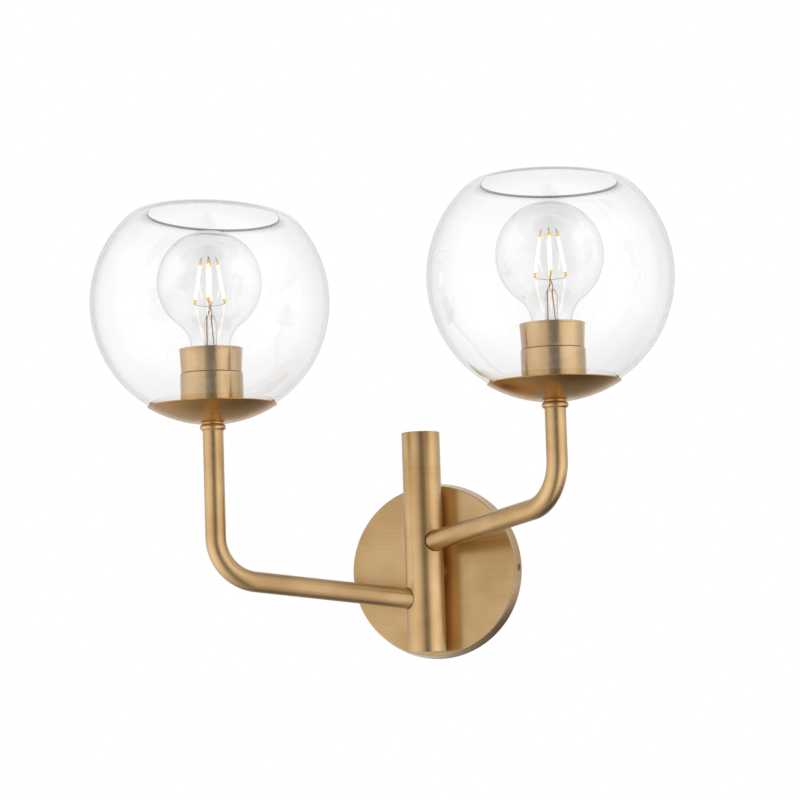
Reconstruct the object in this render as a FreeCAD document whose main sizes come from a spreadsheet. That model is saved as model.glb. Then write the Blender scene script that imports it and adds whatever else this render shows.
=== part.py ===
import FreeCAD, Part
import math
import os
import re

import Sketcher
from FreeCAD import Rotation, Vector

# Double arm wall sconce, in millimetres.
#
# The origin is the centre of the canopy's back rim, on the wall. X runs to the right along
# the wall, +Y runs into the wall and +Z runs up, so the light stands out towards -Y.
#
# A flat canopy carries a short vertical stem on a hollow nipple. Two bent tubes leave the
# stem, left and right, and each carries a lamp on its tip: a dish, a clear open globe, a
# two-part brass cup round the lamp holder, and a clear filament bulb.
#
# Three local frames are used, and each piece gets its place from one of them:
#   the wall frame, with its Z straight out of the wall, for what lies along the nipple;
#   the stem frame, at the stem's axis and the canopy's height;
#   a lamp frame on each side, at the centre of the glass globe.

SIZES = {
    # Canopy: a shallow spun pan with a drafted wall and a thin bevel round its face.
    "canopy_radius": 67.3,
    "canopy_shoulder_radius": 65.2,
    "canopy_depth": 11.0,
    "canopy_sheet": 1.2,
    "canopy_bevel": 0.8,
    # Side screws that hold the canopy to the bracket.
    "side_screw_radius": 2.6,
    "side_screw_length": 5.6,
    "side_screw_recess": 0.6,
    "side_hole_gap": 0.5,
    # Mounting bracket: a steel strap with a tab bent up at each end.
    "bracket_sheet": 2.0,
    "bracket_length": 126.0,
    "bracket_width": 26.0,
    "tab_width": 12.0,
    "tab_rise": 8.6,
    "wire_hole_radius": 9.0,
    "slot_pitch": 79.4,
    "slot_length": 19.0,
    "slot_width": 4.8,
    "ground_screw_radius": 2.0,
    "ground_head_radius": 3.9,
    "ground_head_top_radius": 2.4,
    "ground_head_rise": 2.4,
    "ground_head_skirt": 1.4,
    "ground_offset": 20.0,
    "ground_lift": 6.5,
    # Hollow nipples, with their washers and nuts.
    "nipple_radius": 4.9,
    "nipple_bore": 3.5,
    "nipple_slack": 0.2,
    "nipple_tail": 1.3,
    "washer_radius": 8.5,
    "washer_sheet": 1.0,
    "nut_flats": 14.0,
    "nut_rise": 4.0,
    # Stem, and the stand-off collar behind it.
    "standoff_radius": 8.0,
    "standoff_length": 7.0,
    "stem_radius": 14.5,
    "stem_wall": 1.5,
    "stem_top": 104.5,
    "stem_bottom": 62.6,
    "stem_cap_sheet": 3.0,
    "block_slack": 0.1,
    "block_rise": 22.0,
    "saddle_rise": 15.0,
    "saddle_thread": 8.9,
    "wire_bore": 3.5,
    "stem_screw_radius": 2.0,
    "stem_screw_length": 7.2,
    "stem_screw_recess": 0.3,
    # Arms: bent tubes that enter the stem at different heights.
    "arm_radius": 7.75,
    "arm_wall": 1.4,
    "arm_splay": 34.8,
    "arm_climb": 7.0,
    "arm_reach": 162.0,
    "arm_bend": 34.0,
    "arm_inset": 4.0,
    "arm_hole_gap": 0.6,
    "left_entry": -23.4,
    "right_entry": 19.5,
    "bush_length": 14.0,
    "bead_rise": 5.8,
    "bead_lip": 0.45,
    "bead_shoulder": 1.4,
    "bead_round": 2.9,
    # Globe and dish.
    "globe_height": 203.0,
    "globe_radius": 90.0,
    "globe_wall": 3.0,
    "globe_opening": 54.0,
    "globe_rim_round": 1.8,
    "globe_hole": 20.5,
    "dish_gasket_sheet": 0.8,
    "dish_gasket_radius": 34.0,
    "gasket_slack": 0.12,
    "dish_sheet": 0.8,
    "dish_rim_radius": 48.8,
    "dish_pad_radius": 14.1,
    # Two-part cup that clamps the globe.
    "cup_gasket_rise": 1.0,
    "cup_gasket_width": 2.6,
    "cup_radius": 23.6,
    "cup_wall": 1.6,
    "cup_rise": 29.3,
    "cup_edge": 0.4,
    "ring_gap": 0.4,
    "ring_foot_radius": 22.8,
    "ring_lip_radius": 23.9,
    "ring_wall": 1.5,
    "ring_rise": 18.4,
    "ring_flange_rise": 6.0,
    "ring_thread_gap": 0.35,
    # Lamp holder.
    "socket_radius": 17.5,
    "socket_rise": 45.2,
    "socket_shell_wall": 0.4,
    "socket_shell_gap": 0.35,
    "socket_floor_drop": 2.6,
    "socket_thread": 6.5,
    "contact_rise": 21.4,
    "contact_sheet": 0.5,
    "contact_width": 5.0,
    "contact_reach": 9.0,
    "contact_gap": 0.3,
    # Bulb: a clear globe on a screw base of 26 mm, with four filaments.
    "bulb_radius": 39.5,
    "bulb_wall": 0.8,
    "bulb_length": 118.0,
    "bulb_neck_radius": 14.7,
    "bulb_neck_round": 22.0,
    "bulb_tip_radius": 4.6,
    "bulb_tip_face": 3.2,
    "bulb_tip_rise": 1.5,
    "insulator_face": 6.0,
    "insulator_rise": 4.5,
    "base_radius": 13.0,
    "base_wall": 0.4,
    "base_rise": 18.0,
    "base_lap": 4.0,
    "neck_flare": 2.6,
    "bulb_stem_radius": 4.6,
    "bulb_stem_drop": 23.5,
    "filament_radius": 0.9,
    "filament_foot_spread": 11.4,
    "filament_head_spread": 6.1,
    "filament_foot": -15.4,
    "filament_head": 18.2,
    "filament_turn": 17.0,
    "lead_wire_radius": 0.35,
    "lead_hub_radius": 1.6,
    "lead_hub_drop": 3.2,
    "lead_crown_rise": 1.6,
}

FILAMENT_COUNT = 4
HEX_SIDES = 6

# Lengths that several pieces share, as expressions of the sizes above.
# In the wall frame, out from the wall:
CANOPY_CEILING = "(canopy_depth - canopy_sheet)"
SIDE_SCREW_HEIGHT = "(canopy_depth / 2)"
STEM_FACE = "(canopy_depth + standoff_length)"
STEM_AXIS = f"({STEM_FACE} + stem_radius)"
STEM_BORE = "(stem_radius - stem_wall)"
BLOCK_RADIUS = f"({STEM_BORE} - block_slack)"
CUTTER_REACH = "(stem_radius * 2)"
# In a lamp frame, up from the globe's centre:
DISH_BOTTOM = ("(-sqrt((globe_radius + dish_gasket_sheet + dish_sheet)^2"
               " - dish_pad_radius^2))")
DISH_FLOOR = f"({DISH_BOTTOM} + dish_sheet)"
DISH_SEAT_RADIUS = "(globe_radius + dish_gasket_sheet)"
DISH_RIM = "(-sqrt((globe_radius + dish_gasket_sheet + dish_sheet)^2 - dish_rim_radius^2))"
SOCKET_FOOT = f"({DISH_FLOOR} + washer_sheet + nut_rise)"
SOCKET_FLOOR = f"({SOCKET_FOOT} + contact_rise - socket_floor_drop)"
SOCKET_TOP = f"({SOCKET_FOOT} + socket_rise)"
GLOBE_BORE = "(globe_radius - globe_wall)"
CUP_FOOT = f"(-sqrt({GLOBE_BORE}^2 - cup_radius^2) + cup_gasket_rise)"
CUP_TOP = f"({CUP_FOOT} + cup_rise)"
RING_FOOT = f"({CUP_TOP} + ring_gap)"
RING_TOP = f"({RING_FOOT} + ring_rise)"
BULB_TIP = f"({SOCKET_FOOT} + contact_rise + contact_gap)"
INSULATOR_FOOT = f"({BULB_TIP} + bulb_tip_rise)"
BASE_FOOT = f"({INSULATOR_FOOT} + insulator_rise)"
BASE_TOP = f"({BASE_FOOT} + base_rise)"
BASE_BORE = "(base_radius - base_wall)"
BULB_CENTRE = f"({BULB_TIP} + bulb_length - bulb_radius)"
BULB_STEM_TOP = f"({BULB_CENTRE} - bulb_stem_drop)"

doc = FreeCAD.newDocument("wall_sconce")
sheet = doc.addObject("Spreadsheet::Sheet", "Size")
for row, (alias, number) in enumerate(SIZES.items(), start=1):
    sheet.set(f"A{row}", alias)
    sheet.set(f"B{row}", str(number))
    sheet.setAlias(f"B{row}", alias)
doc.recompute()

nodes = []


def bound(text):
    """The text as an expression of the sheet's cells."""
    return re.sub(r"[a-z_]+", lambda word: f"Size.{word[0]}" if word[0] in SIZES else word[0],
                  text)


def size(text):
    """The value, in millimetres or degrees, of an expression of the sizes."""
    return float(sheet.evalExpression(text))


def bind(feature, **properties):
    """Ties properties of a feature to expressions of the sizes."""
    for name, text in properties.items():
        feature.setExpression(name, bound(text))


def node(feature, label, base=("0", "0", "0"), rotation=Rotation()):
    """Names a finished sub-part and puts it in its place."""
    feature.Label = label
    feature.Placement = FreeCAD.Placement(Vector(*[size(part) for part in base]), rotation)
    for axis, text in zip("xyz", base):
        feature.setExpression(f"Placement.Base.{axis}", bound(text))
    nodes.append(feature)
    return feature


# Sketches and bodies


def sketch_in(body, plane, height="0"):
    """An empty sketch on one of the body's origin planes, or that height above it."""
    sketch = body.newObject("Sketcher::SketchObject", "Sketch")
    support = next(part for part in body.Origin.OriginFeatures if part.Role == plane)
    sketch.AttachmentSupport = [(support, "")]
    sketch.MapMode = "FlatFace"
    sketch.setExpression("AttachmentOffset.Base.z", bound(height))
    return sketch


def tie_point(sketch, edge, end, corner):
    """Dimensions one point of a sketch from its origin."""
    for kind, text, axis in (("DistanceX", corner[0], -2), ("DistanceY", corner[1], -1)):
        if text == "0":
            sketch.addConstraint(Sketcher.Constraint("PointOnObject", edge, end, axis))
        else:
            rule = Sketcher.Constraint(kind, -1, 1, edge, end, size(text))
            sketch.setExpression(f"Constraints[{sketch.addConstraint(rule)}]", bound(text))


def arc_between(start, finish, radius, centre_side):
    """The short arc between two points, with its centre on the left or right of the walk."""
    chord = finish - start
    rise = max(radius ** 2 - chord.Length ** 2 / 4, 0) ** 0.5
    left = Vector(-chord.y, chord.x, 0).normalize()
    centre = (start + finish) / 2 + left * (rise if centre_side == "left" else -rise)
    circle = Part.Circle(centre, Vector(0, 0, 1), radius)
    ends = (start, finish) if centre_side == "left" else (finish, start)
    return Part.ArcOfCircle(circle, circle.parameter(ends[0]), circle.parameter(ends[1]))


def draw(sketch, corners, closed=True):
    """Draws an outline through corners, each (x, y) or (x, y, arc radius, centre side)."""
    points = [Vector(size(corner[0]), size(corner[1]), 0) for corner in corners]
    count = len(corners) if closed else len(corners) - 1
    first = sketch.GeometryCount
    ends = []
    for index in range(count):
        start, finish = points[index], points[(index + 1) % len(points)]
        if len(corners[index]) == 4:
            radius, centre_side = corners[index][2:]
            edge = sketch.addGeometry(arc_between(start, finish, size(radius), centre_side))
            rule = Sketcher.Constraint("Radius", edge, size(radius))
            sketch.setExpression(f"Constraints[{sketch.addConstraint(rule)}]", bound(radius))
            ends.append((1, 2) if centre_side == "left" else (2, 1))
        else:
            sketch.addGeometry(Part.LineSegment(start, finish))
            ends.append((1, 2))
        tie_point(sketch, first + index, ends[index][0], corners[index])
    for index in range(count if closed else count - 1):
        after = (index + 1) % count
        sketch.addConstraint(Sketcher.Constraint(
            "Coincident", first + index, ends[index][1], first + after, ends[after][0]))
    if not closed:
        tie_point(sketch, first + count - 1, ends[-1][1], corners[-1])


def draw_circle(sketch, radius, centre=("0", "0")):
    """Draws a circle of a bound radius."""
    middle = Vector(size(centre[0]), size(centre[1]), 0)
    edge = sketch.addGeometry(Part.Circle(middle, Vector(0, 0, 1), size(radius)))
    tie_point(sketch, edge, 3, centre)
    rule = Sketcher.Constraint("Radius", edge, size(radius))
    sketch.setExpression(f"Constraints[{sketch.addConstraint(rule)}]", bound(radius))


def draw_slot(sketch, middle):
    """Draws a level slot with round ends, centred on the X axis at that distance."""
    half_run = "(slot_length - slot_width) / 2"
    ends = []
    for sign, first_angle in (("-", math.pi / 2), ("+", -math.pi / 2)):
        centre = (f"{middle} {sign} {half_run}", "0")
        circle = Part.Circle(Vector(size(centre[0]), 0, 0), Vector(0, 0, 1),
                             size("slot_width / 2"))
        ends.append(sketch.addGeometry(Part.ArcOfCircle(circle, first_angle,
                                                        first_angle + math.pi)))
        tie_point(sketch, ends[-1], 3, centre)
    left, right = ends
    bottom = sketch.addGeometry(Part.LineSegment(sketch.getPoint(left, 2),
                                                 sketch.getPoint(right, 1)))
    top = sketch.addGeometry(Part.LineSegment(sketch.getPoint(right, 2),
                                              sketch.getPoint(left, 1)))
    for joint in ((left, 2, bottom, 1), (bottom, 2, right, 1), (right, 2, top, 1),
                  (top, 2, left, 1)):
        sketch.addConstraint(Sketcher.Constraint("Tangent", *joint))
    sketch.addConstraint(Sketcher.Constraint("Equal", left, right))
    rule = Sketcher.Constraint("Radius", left, size("slot_width / 2"))
    sketch.setExpression(f"Constraints[{sketch.addConstraint(rule)}]",
                         bound("slot_width / 2"))


def rectangle(left, bottom, right, top):
    """The four corners of an upright rectangle."""
    return [(left, bottom), (right, bottom), (right, top), (left, top)]


def turned(corners):
    """A body turned about its Z axis from half of its section."""
    body = doc.addObject("PartDesign::Body", "Body")
    sketch = sketch_in(body, "XZ_Plane")
    draw(sketch, corners)
    turn = body.newObject("PartDesign::Revolution", "Revolution")
    turn.Profile = sketch
    turn.ReferenceAxis = (sketch, ["V_Axis"])
    turn.Angle = 360
    return body


def pad(body, sketch, length):
    """Raises a sketch by a length."""
    raised = body.newObject("PartDesign::Pad", "Pad")
    raised.Profile = sketch
    bind(raised, Length=length)
    return raised


def pocket(body, sketch):
    """Cuts a sketch through the whole body, on both sides of its plane."""
    doc.recompute()
    before = body.Shape.Volume
    hole = body.newObject("PartDesign::Pocket", "Pocket")
    hole.Profile = sketch
    hole.Type = "ThroughAll"
    hole.Midplane = True
    doc.recompute()
    if not body.Shape.Volume < before:
        raise ValueError("a pocket cuts nothing")


def hex_nut():
    """A hexagon nut on a nipple, standing on its local origin."""
    body = doc.addObject("PartDesign::Body", "Body")
    sketch = sketch_in(body, "XY_Plane")
    turns = [360 / HEX_SIDES * side for side in range(HEX_SIDES)]
    draw(sketch, [(f"nut_flats / sqrt(3) * cos({turn})", f"nut_flats / sqrt(3) * sin({turn})")
                  if turn % 180 else (f"nut_flats / sqrt(3) * cos({turn})", "0")
                  for turn in turns])
    draw_circle(sketch, "nipple_radius")
    pad(body, sketch, "nut_rise")
    return body


def washer():
    """A flat washer for a nipple, lying on its local origin."""
    return turned(rectangle("nipple_radius + nipple_slack", "0", "washer_radius", "washer_sheet"))


def tube(bore, radius, foot, top):
    """A plain round tube."""
    return turned(rectangle(bore, foot, radius, top))


# Rods and booleans


def rod(radius, length, start, direction):
    """A round rod from a point along a direction."""
    cylinder = doc.addObject("Part::Cylinder", "Rod")
    bind(cylinder, Radius=radius, Height=length)
    cylinder.Placement = FreeCAD.Placement(start, Rotation(Vector(0, 0, 1), direction))
    return cylinder


def joined(features):
    """Several solids as one feature."""
    union = doc.addObject("Part::MultiFuse", "Union")
    union.Shapes = features
    return union


def cut(base, tools):
    """A solid less its tools."""
    result = doc.addObject("Part::Cut", "Cut")
    result.Base = base
    result.Tool = tools[0] if len(tools) == 1 else joined(tools)
    return result


# What lies along the nipple, in the wall frame

OUT_OF_WALL = Rotation(Vector(1, 0, 0), 90)


def wall_node(feature, label, height="0"):
    """A sub-part in the wall frame, that far out from the wall."""
    return node(feature, label, ("0", f"-({height})", "0"), OUT_OF_WALL)


def make_canopy():
    face_radius = "canopy_shoulder_radius - canopy_bevel"
    bore = "nipple_radius + nipple_slack"
    body = turned([
        (bore, "canopy_depth"),
        (bore, CANOPY_CEILING),
        ("canopy_shoulder_radius - canopy_sheet", CANOPY_CEILING),
        ("canopy_radius - canopy_sheet", "0"),
        ("canopy_radius", "0"),
        ("canopy_shoulder_radius", "canopy_depth - canopy_bevel"),
        (face_radius, "canopy_depth"),
    ])
    side_holes = sketch_in(body, "YZ_Plane")
    draw_circle(side_holes, "side_screw_radius + side_hole_gap", ("0", SIDE_SCREW_HEIGHT))
    pocket(body, side_holes)
    return wall_node(body, "canopy")


def make_side_screws():
    wall_radius = ("(canopy_radius - (canopy_radius - canopy_shoulder_radius)"
                   f" * {SIDE_SCREW_HEIGHT} / (canopy_depth - canopy_bevel))")
    screws = []
    for side in (-1, 1):
        start = Vector(side * size(f"{wall_radius} - side_screw_recess"), 0,
                       size(SIDE_SCREW_HEIGHT))
        screws.append(rod("side_screw_radius", "side_screw_length", start,
                          Vector(-side, 0, 0)))
    return wall_node(joined(screws), "canopy_side_screws")


def make_bracket():
    half_length, half_width = "bracket_length / 2", "bracket_width / 2"
    body = doc.addObject("PartDesign::Body", "Body")
    strap = sketch_in(body, "XY_Plane")
    draw(strap, rectangle(f"-{half_length}", f"-{half_width}", half_length, half_width))
    draw_circle(strap, "wire_hole_radius")
    draw_circle(strap, "ground_screw_radius", ("ground_offset", "ground_lift"))
    draw_slot(strap, "-slot_pitch / 2")
    draw_slot(strap, "slot_pitch / 2")
    pad(body, strap, "bracket_sheet")
    tabs = sketch_in(body, "XY_Plane")
    inner = "(bracket_length / 2 - bracket_sheet)"
    draw(tabs, rectangle(f"-{half_length}", "-tab_width / 2", f"-{inner}", "tab_width / 2"))
    draw(tabs, rectangle(inner, "-tab_width / 2", half_length, "tab_width / 2"))
    pad(body, tabs, "tab_rise")
    threads = sketch_in(body, "YZ_Plane")
    draw_circle(threads, "side_screw_radius", ("0", SIDE_SCREW_HEIGHT))
    pocket(body, threads)
    return wall_node(body, "mounting_bracket")


def make_ground_screw():
    body = turned([
        ("0", "0"),
        ("ground_screw_radius", "0"),
        ("ground_screw_radius", "bracket_sheet"),
        ("ground_head_radius", "bracket_sheet"),
        ("ground_head_radius", "bracket_sheet + ground_head_skirt"),
        ("ground_head_top_radius", "bracket_sheet + ground_head_rise"),
        ("0", "bracket_sheet + ground_head_rise"),
    ])
    return node(body, "ground_screw", ("ground_offset", "0", "ground_lift"), OUT_OF_WALL)


def make_centre_nipple():
    tail = f"({CANOPY_CEILING} - washer_sheet - nut_rise - nipple_tail)"
    head = f"({STEM_AXIS} - {BLOCK_RADIUS} + saddle_thread)"
    wall_node(tube("nipple_bore", "nipple_radius", tail, head), "centre_nipple")
    wall_node(washer(), "canopy_washer", f"{CANOPY_CEILING} - washer_sheet")
    wall_node(hex_nut(), "canopy_nut", f"{CANOPY_CEILING} - washer_sheet - nut_rise")


def make_standoff():
    """The collar between canopy and stem, scooped to sit on the round stem."""
    blank = tube("nipple_radius + nipple_slack", "standoff_radius", "canopy_depth", STEM_AXIS)
    scoop = rod("stem_radius", f"{CUTTER_REACH} * 2",
                Vector(0, -size(CUTTER_REACH), size(STEM_AXIS)), Vector(0, 1, 0))
    return wall_node(cut(blank, [scoop]), "standoff_collar")


# What stands in the stem, in the stem frame

STEM_PLACE = ("0", f"-{STEM_AXIS}", "0")
TO_WALL = Vector(0, 1, 0)


def arm_turn(side):
    """The turn about Z that takes X to the way an arm leaves the stem, seen from above."""
    return Rotation(Vector(0, 0, 1), -size("arm_splay") if side == "right"
                    else 180 + size("arm_splay"))


def arm_axis(side):
    """The direction of an arm where it leaves the stem."""
    along = Vector(size("cos(arm_climb)"), 0, size("sin(arm_climb)"))
    return arm_turn(side).multVec(along)


def arm_entry(side):
    """The point in the stem frame where an arm's axis meets the stem's."""
    return Vector(0, 0, size(f"{side}_entry"))


def nipple_hole(radius):
    """A cutter for the centre nipple's hole, from the stem's axis to the wall's side."""
    return rod(radius, CUTTER_REACH, Vector(0, 0, 0), TO_WALL)


def stem_screw_hole(side, radius):
    """A cutter for the hole of the screw that holds an arm's block in the stem."""
    start = arm_entry(side) + TO_WALL * size("stem_radius - stem_screw_recess"
                                             " - stem_screw_length")
    return rod(radius, "stem_screw_length + stem_wall", start, TO_WALL)


def make_stem():
    blank = tube(STEM_BORE, "stem_radius", "-stem_bottom", "stem_top")
    tools = [nipple_hole("nipple_radius + nipple_slack")]
    for side in ("left", "right"):
        tools.append(rod("arm_radius + arm_hole_gap", CUTTER_REACH, arm_entry(side),
                         arm_axis(side)))
        tools.append(stem_screw_hole(side, "stem_screw_radius"))
    node(cut(blank, tools), "stem_tube", STEM_PLACE)
    node(tube("0", STEM_BORE, "stem_top - stem_cap_sheet", "stem_top"), "stem_cap_top",
         STEM_PLACE)
    node(tube("0", STEM_BORE, "-stem_bottom", "-stem_bottom + stem_cap_sheet"),
         "stem_cap_bottom", STEM_PLACE)


def make_saddle():
    """The threaded block that the centre nipple screws into."""
    blank = tube("wire_bore", BLOCK_RADIUS, "-saddle_rise / 2", "saddle_rise / 2")
    return node(cut(blank, [nipple_hole("nipple_radius")]), "stem_saddle", STEM_PLACE)


def make_arm_block(side):
    """The block inside the stem that an arm is soldered into."""
    middle = f"{side}_entry"
    blank = tube("wire_bore", BLOCK_RADIUS, f"{middle} - block_rise / 2",
                 f"{middle} + block_rise / 2")
    seat = arm_entry(side) + arm_axis(side) * size("arm_inset")
    arm_bore = rod("arm_radius", CUTTER_REACH, seat, arm_axis(side))
    wire_way = rod("arm_radius - arm_wall", "stem_radius", arm_entry(side), arm_axis(side))
    screw_hole = stem_screw_hole(side, "stem_screw_radius")
    return node(cut(blank, [arm_bore, wire_way, screw_hole]), f"{side}_arm_block", STEM_PLACE)


def make_stem_screws():
    screws = []
    for side in ("left", "right"):
        start = arm_entry(side) + TO_WALL * size("stem_radius - stem_screw_recess"
                                                 " - stem_screw_length")
        screws.append(rod("stem_screw_radius", "stem_screw_length", start, TO_WALL))
    return node(joined(screws), "stem_screws", STEM_PLACE)


# The arms, each in a frame at the stem's axis that is turned to the arm's own side


def make_arm(side):
    """A tube swept from its upright tip, round one bend, down to its seat in the stem."""
    tip = f"({DISH_BOTTOM} + globe_height - {side}_entry)"
    corner = "(arm_reach * tan(arm_climb))"
    run_in = "(arm_bend * tan(45 - arm_climb / 2))"
    body = doc.addObject("PartDesign::Body", "Body")
    path = sketch_in(body, "XZ_Plane")
    draw(path, [
        ("arm_reach", tip),
        ("arm_reach", f"{corner} + {run_in}", "arm_bend", "right"),
        (f"arm_reach - {run_in} * cos(arm_climb)", f"{corner} - {run_in} * sin(arm_climb)"),
        ("arm_inset * cos(arm_climb)", "arm_inset * sin(arm_climb)"),
    ], closed=False)
    section = sketch_in(body, "XY_Plane", tip)
    draw_circle(section, "arm_radius", ("arm_reach", "0"))
    draw_circle(section, "arm_radius - arm_wall", ("arm_reach", "0"))
    pipe = body.newObject("PartDesign::AdditivePipe", "Pipe")
    pipe.Profile = section
    pipe.Spine = (path, ["Edge1", "Edge2", "Edge3"])
    place = ("0", f"-{STEM_AXIS}", f"{side}_entry")
    return node(body, f"{side}_arm", place, arm_turn(side))


# The lamps, in the lamp frames

LAMP_SIDES = {"left": "-", "right": ""}


def lamp_node(feature, side, name, height="0"):
    """A sub-part of one lamp, that far above the globe's centre."""
    place = (f"{LAMP_SIDES[side]}(arm_reach * cos(arm_splay))",
             f"-({STEM_AXIS} + arm_reach * sin(arm_splay))", f"globe_height + {height}")
    return node(feature, f"{side}_{name}", place)


def on_sphere(sphere, radius):
    """How far a ring of that radius on a sphere lies below the sphere's centre."""
    return f"(-sqrt({sphere}^2 - ({radius})^2))"


def make_arm_tip(side):
    """The threaded bush in the arm's tip and the bead round it."""
    lamp_node(tube("nipple_radius", "arm_radius - arm_wall", f"{DISH_BOTTOM} - bush_length",
                   DISH_BOTTOM), side, "arm_bush")
    shoulder = "arm_radius + bead_lip"
    bead = turned([
        ("arm_radius", DISH_BOTTOM),
        ("arm_radius", f"{DISH_BOTTOM} - bead_rise"),
        (shoulder, f"{DISH_BOTTOM} - bead_rise", "bead_round", "left"),
        (shoulder, f"{DISH_BOTTOM} - bead_shoulder"),
        (shoulder, DISH_BOTTOM),
    ])
    lamp_node(bead, side, "arm_collar")


def make_dish(side):
    outer = "(globe_radius + dish_gasket_sheet + dish_sheet)"
    bore = "nipple_radius + nipple_slack"
    body = turned([
        (bore, DISH_FLOOR),
        (bore, DISH_BOTTOM),
        ("dish_pad_radius", DISH_BOTTOM, outer, "left"),
        ("dish_rim_radius", DISH_RIM),
        (f"sqrt({DISH_SEAT_RADIUS}^2 - {DISH_RIM}^2)", DISH_RIM, DISH_SEAT_RADIUS, "right"),
        (f"sqrt({DISH_SEAT_RADIUS}^2 - {DISH_FLOOR}^2)", DISH_FLOOR),
    ])
    lamp_node(body, side, "dish")


def make_lamp_nipple(side):
    lamp_node(tube("nipple_bore", "nipple_radius", f"{DISH_BOTTOM} - bush_length",
                   f"{SOCKET_FOOT} + socket_thread"), side, "lamp_nipple")
    lamp_node(washer(), side, "lamp_washer", DISH_FLOOR)
    lamp_node(hex_nut(), side, "lamp_nut", f"{DISH_FLOOR} + washer_sheet")


def make_globe(side):
    """A blown globe with a ground hole below and a wide fire-polished opening above."""
    rim = "sqrt(globe_radius^2 - globe_opening^2)"
    inward = f"({GLOBE_BORE} / globe_radius)"
    body = turned([
        ("globe_hole", on_sphere(GLOBE_BORE, "globe_hole")),
        ("globe_hole", on_sphere("globe_radius", "globe_hole"), "globe_radius", "left"),
        ("globe_radius", "0", "globe_radius", "left"),
        ("globe_opening", rim, "globe_rim_round", "left"),
        (f"globe_opening * {inward}", f"{rim} * {inward}", GLOBE_BORE, "right"),
        (GLOBE_BORE, "0", GLOBE_BORE, "right"),
    ])
    lamp_node(body, side, "glass_globe")


def make_gaskets(side):
    """The soft rings under and over the glass, round its hole."""
    upper, lower = "(globe_radius + gasket_slack)", f"({DISH_SEAT_RADIUS} - gasket_slack)"
    seat = turned([
        ("globe_hole", on_sphere(upper, "globe_hole")),
        ("globe_hole", on_sphere(lower, "globe_hole"), lower, "left"),
        ("dish_gasket_radius", on_sphere(lower, "dish_gasket_radius")),
        ("dish_gasket_radius", on_sphere(upper, "dish_gasket_radius"), upper, "right"),
    ])
    lamp_node(seat, side, "dish_gasket")
    inner, bed = "(cup_radius - cup_gasket_width)", f"({GLOBE_BORE} - gasket_slack)"
    washer_ring = turned([
        (inner, CUP_FOOT),
        (inner, on_sphere(bed, inner), bed, "left"),
        ("cup_radius", on_sphere(bed, "cup_radius")),
        ("cup_radius", CUP_FOOT),
    ])
    lamp_node(washer_ring, side, "cup_gasket")


def make_cup(side):
    """The lower half of the brass cup, a loose sleeve that presses on the glass."""
    inner = "cup_radius - cup_wall"
    body = turned([
        (inner, CUP_FOOT),
        ("cup_radius", CUP_FOOT),
        ("cup_radius", f"{CUP_TOP} - cup_edge"),
        ("cup_radius - cup_edge", CUP_TOP),
        (inner, CUP_TOP),
    ])
    lamp_node(body, side, "lower_cup")


def make_ring(side):
    """The upper half of the cup, a flared nut on the lamp holder's outer thread."""
    thread = "socket_radius + ring_thread_gap"
    flange_top = f"{RING_FOOT} + ring_flange_rise"
    body = turned([
        (thread, RING_FOOT),
        ("ring_foot_radius - cup_edge", RING_FOOT),
        ("ring_foot_radius", f"{RING_FOOT} + cup_edge"),
        ("ring_lip_radius", f"{RING_TOP} - cup_edge"),
        ("ring_lip_radius - cup_edge", RING_TOP),
        ("ring_lip_radius - ring_wall", RING_TOP),
        ("ring_foot_radius - ring_wall", flange_top),
        (thread, flange_top),
    ])
    lamp_node(body, side, "shade_ring")


def make_socket(side):
    """The lamp holder: a moulded body, the screw shell in it and the sprung contact."""
    shell_bore = "(base_radius + socket_shell_gap)"
    cavity = f"({shell_bore} + socket_shell_wall)"
    body = turned([
        ("nipple_radius", SOCKET_FOOT),
        ("socket_radius", SOCKET_FOOT),
        ("socket_radius", SOCKET_TOP),
        (cavity, SOCKET_TOP),
        (cavity, SOCKET_FLOOR),
        ("wire_bore", SOCKET_FLOOR),
        ("wire_bore", f"{SOCKET_FOOT} + socket_thread"),
        ("nipple_radius", f"{SOCKET_FOOT} + socket_thread"),
    ])
    lamp_node(body, side, "socket_body")
    lamp_node(tube(shell_bore, cavity, BASE_FOOT, f"{SOCKET_TOP} - socket_shell_wall"), side,
              "socket_shell")
    top = f"({SOCKET_FOOT} + contact_rise)"
    strip = doc.addObject("PartDesign::Body", "Body")
    bend = sketch_in(strip, "XZ_Plane")
    draw(bend, [
        ("-contact_reach", SOCKET_FLOOR),
        ("-contact_reach / 2", SOCKET_FLOOR),
        ("0", f"{top} - contact_sheet"),
        ("contact_width / 2", f"{top} - contact_sheet"),
        ("contact_width / 2", top),
        ("-contact_sheet", top),
        ("-contact_reach / 2 - contact_sheet", f"{SOCKET_FLOOR} + contact_sheet"),
        ("-contact_reach", f"{SOCKET_FLOOR} + contact_sheet"),
    ])
    pad(strip, bend, "contact_width").Midplane = True
    lamp_node(strip, side, "socket_contact")


def make_bulb_base(side):
    tip = turned([("0", BULB_TIP), ("bulb_tip_face", BULB_TIP),
                  ("bulb_tip_radius", INSULATOR_FOOT), ("0", INSULATOR_FOOT)])
    lamp_node(tip, side, "bulb_tip")
    insulator = turned([("0", INSULATOR_FOOT), ("insulator_face", INSULATOR_FOOT),
                        (BASE_BORE, BASE_FOOT), ("0", BASE_FOOT)])
    lamp_node(insulator, side, "bulb_insulator")
    lamp_node(tube(BASE_BORE, "base_radius", BASE_FOOT, BASE_TOP), side, "bulb_base")


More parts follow.
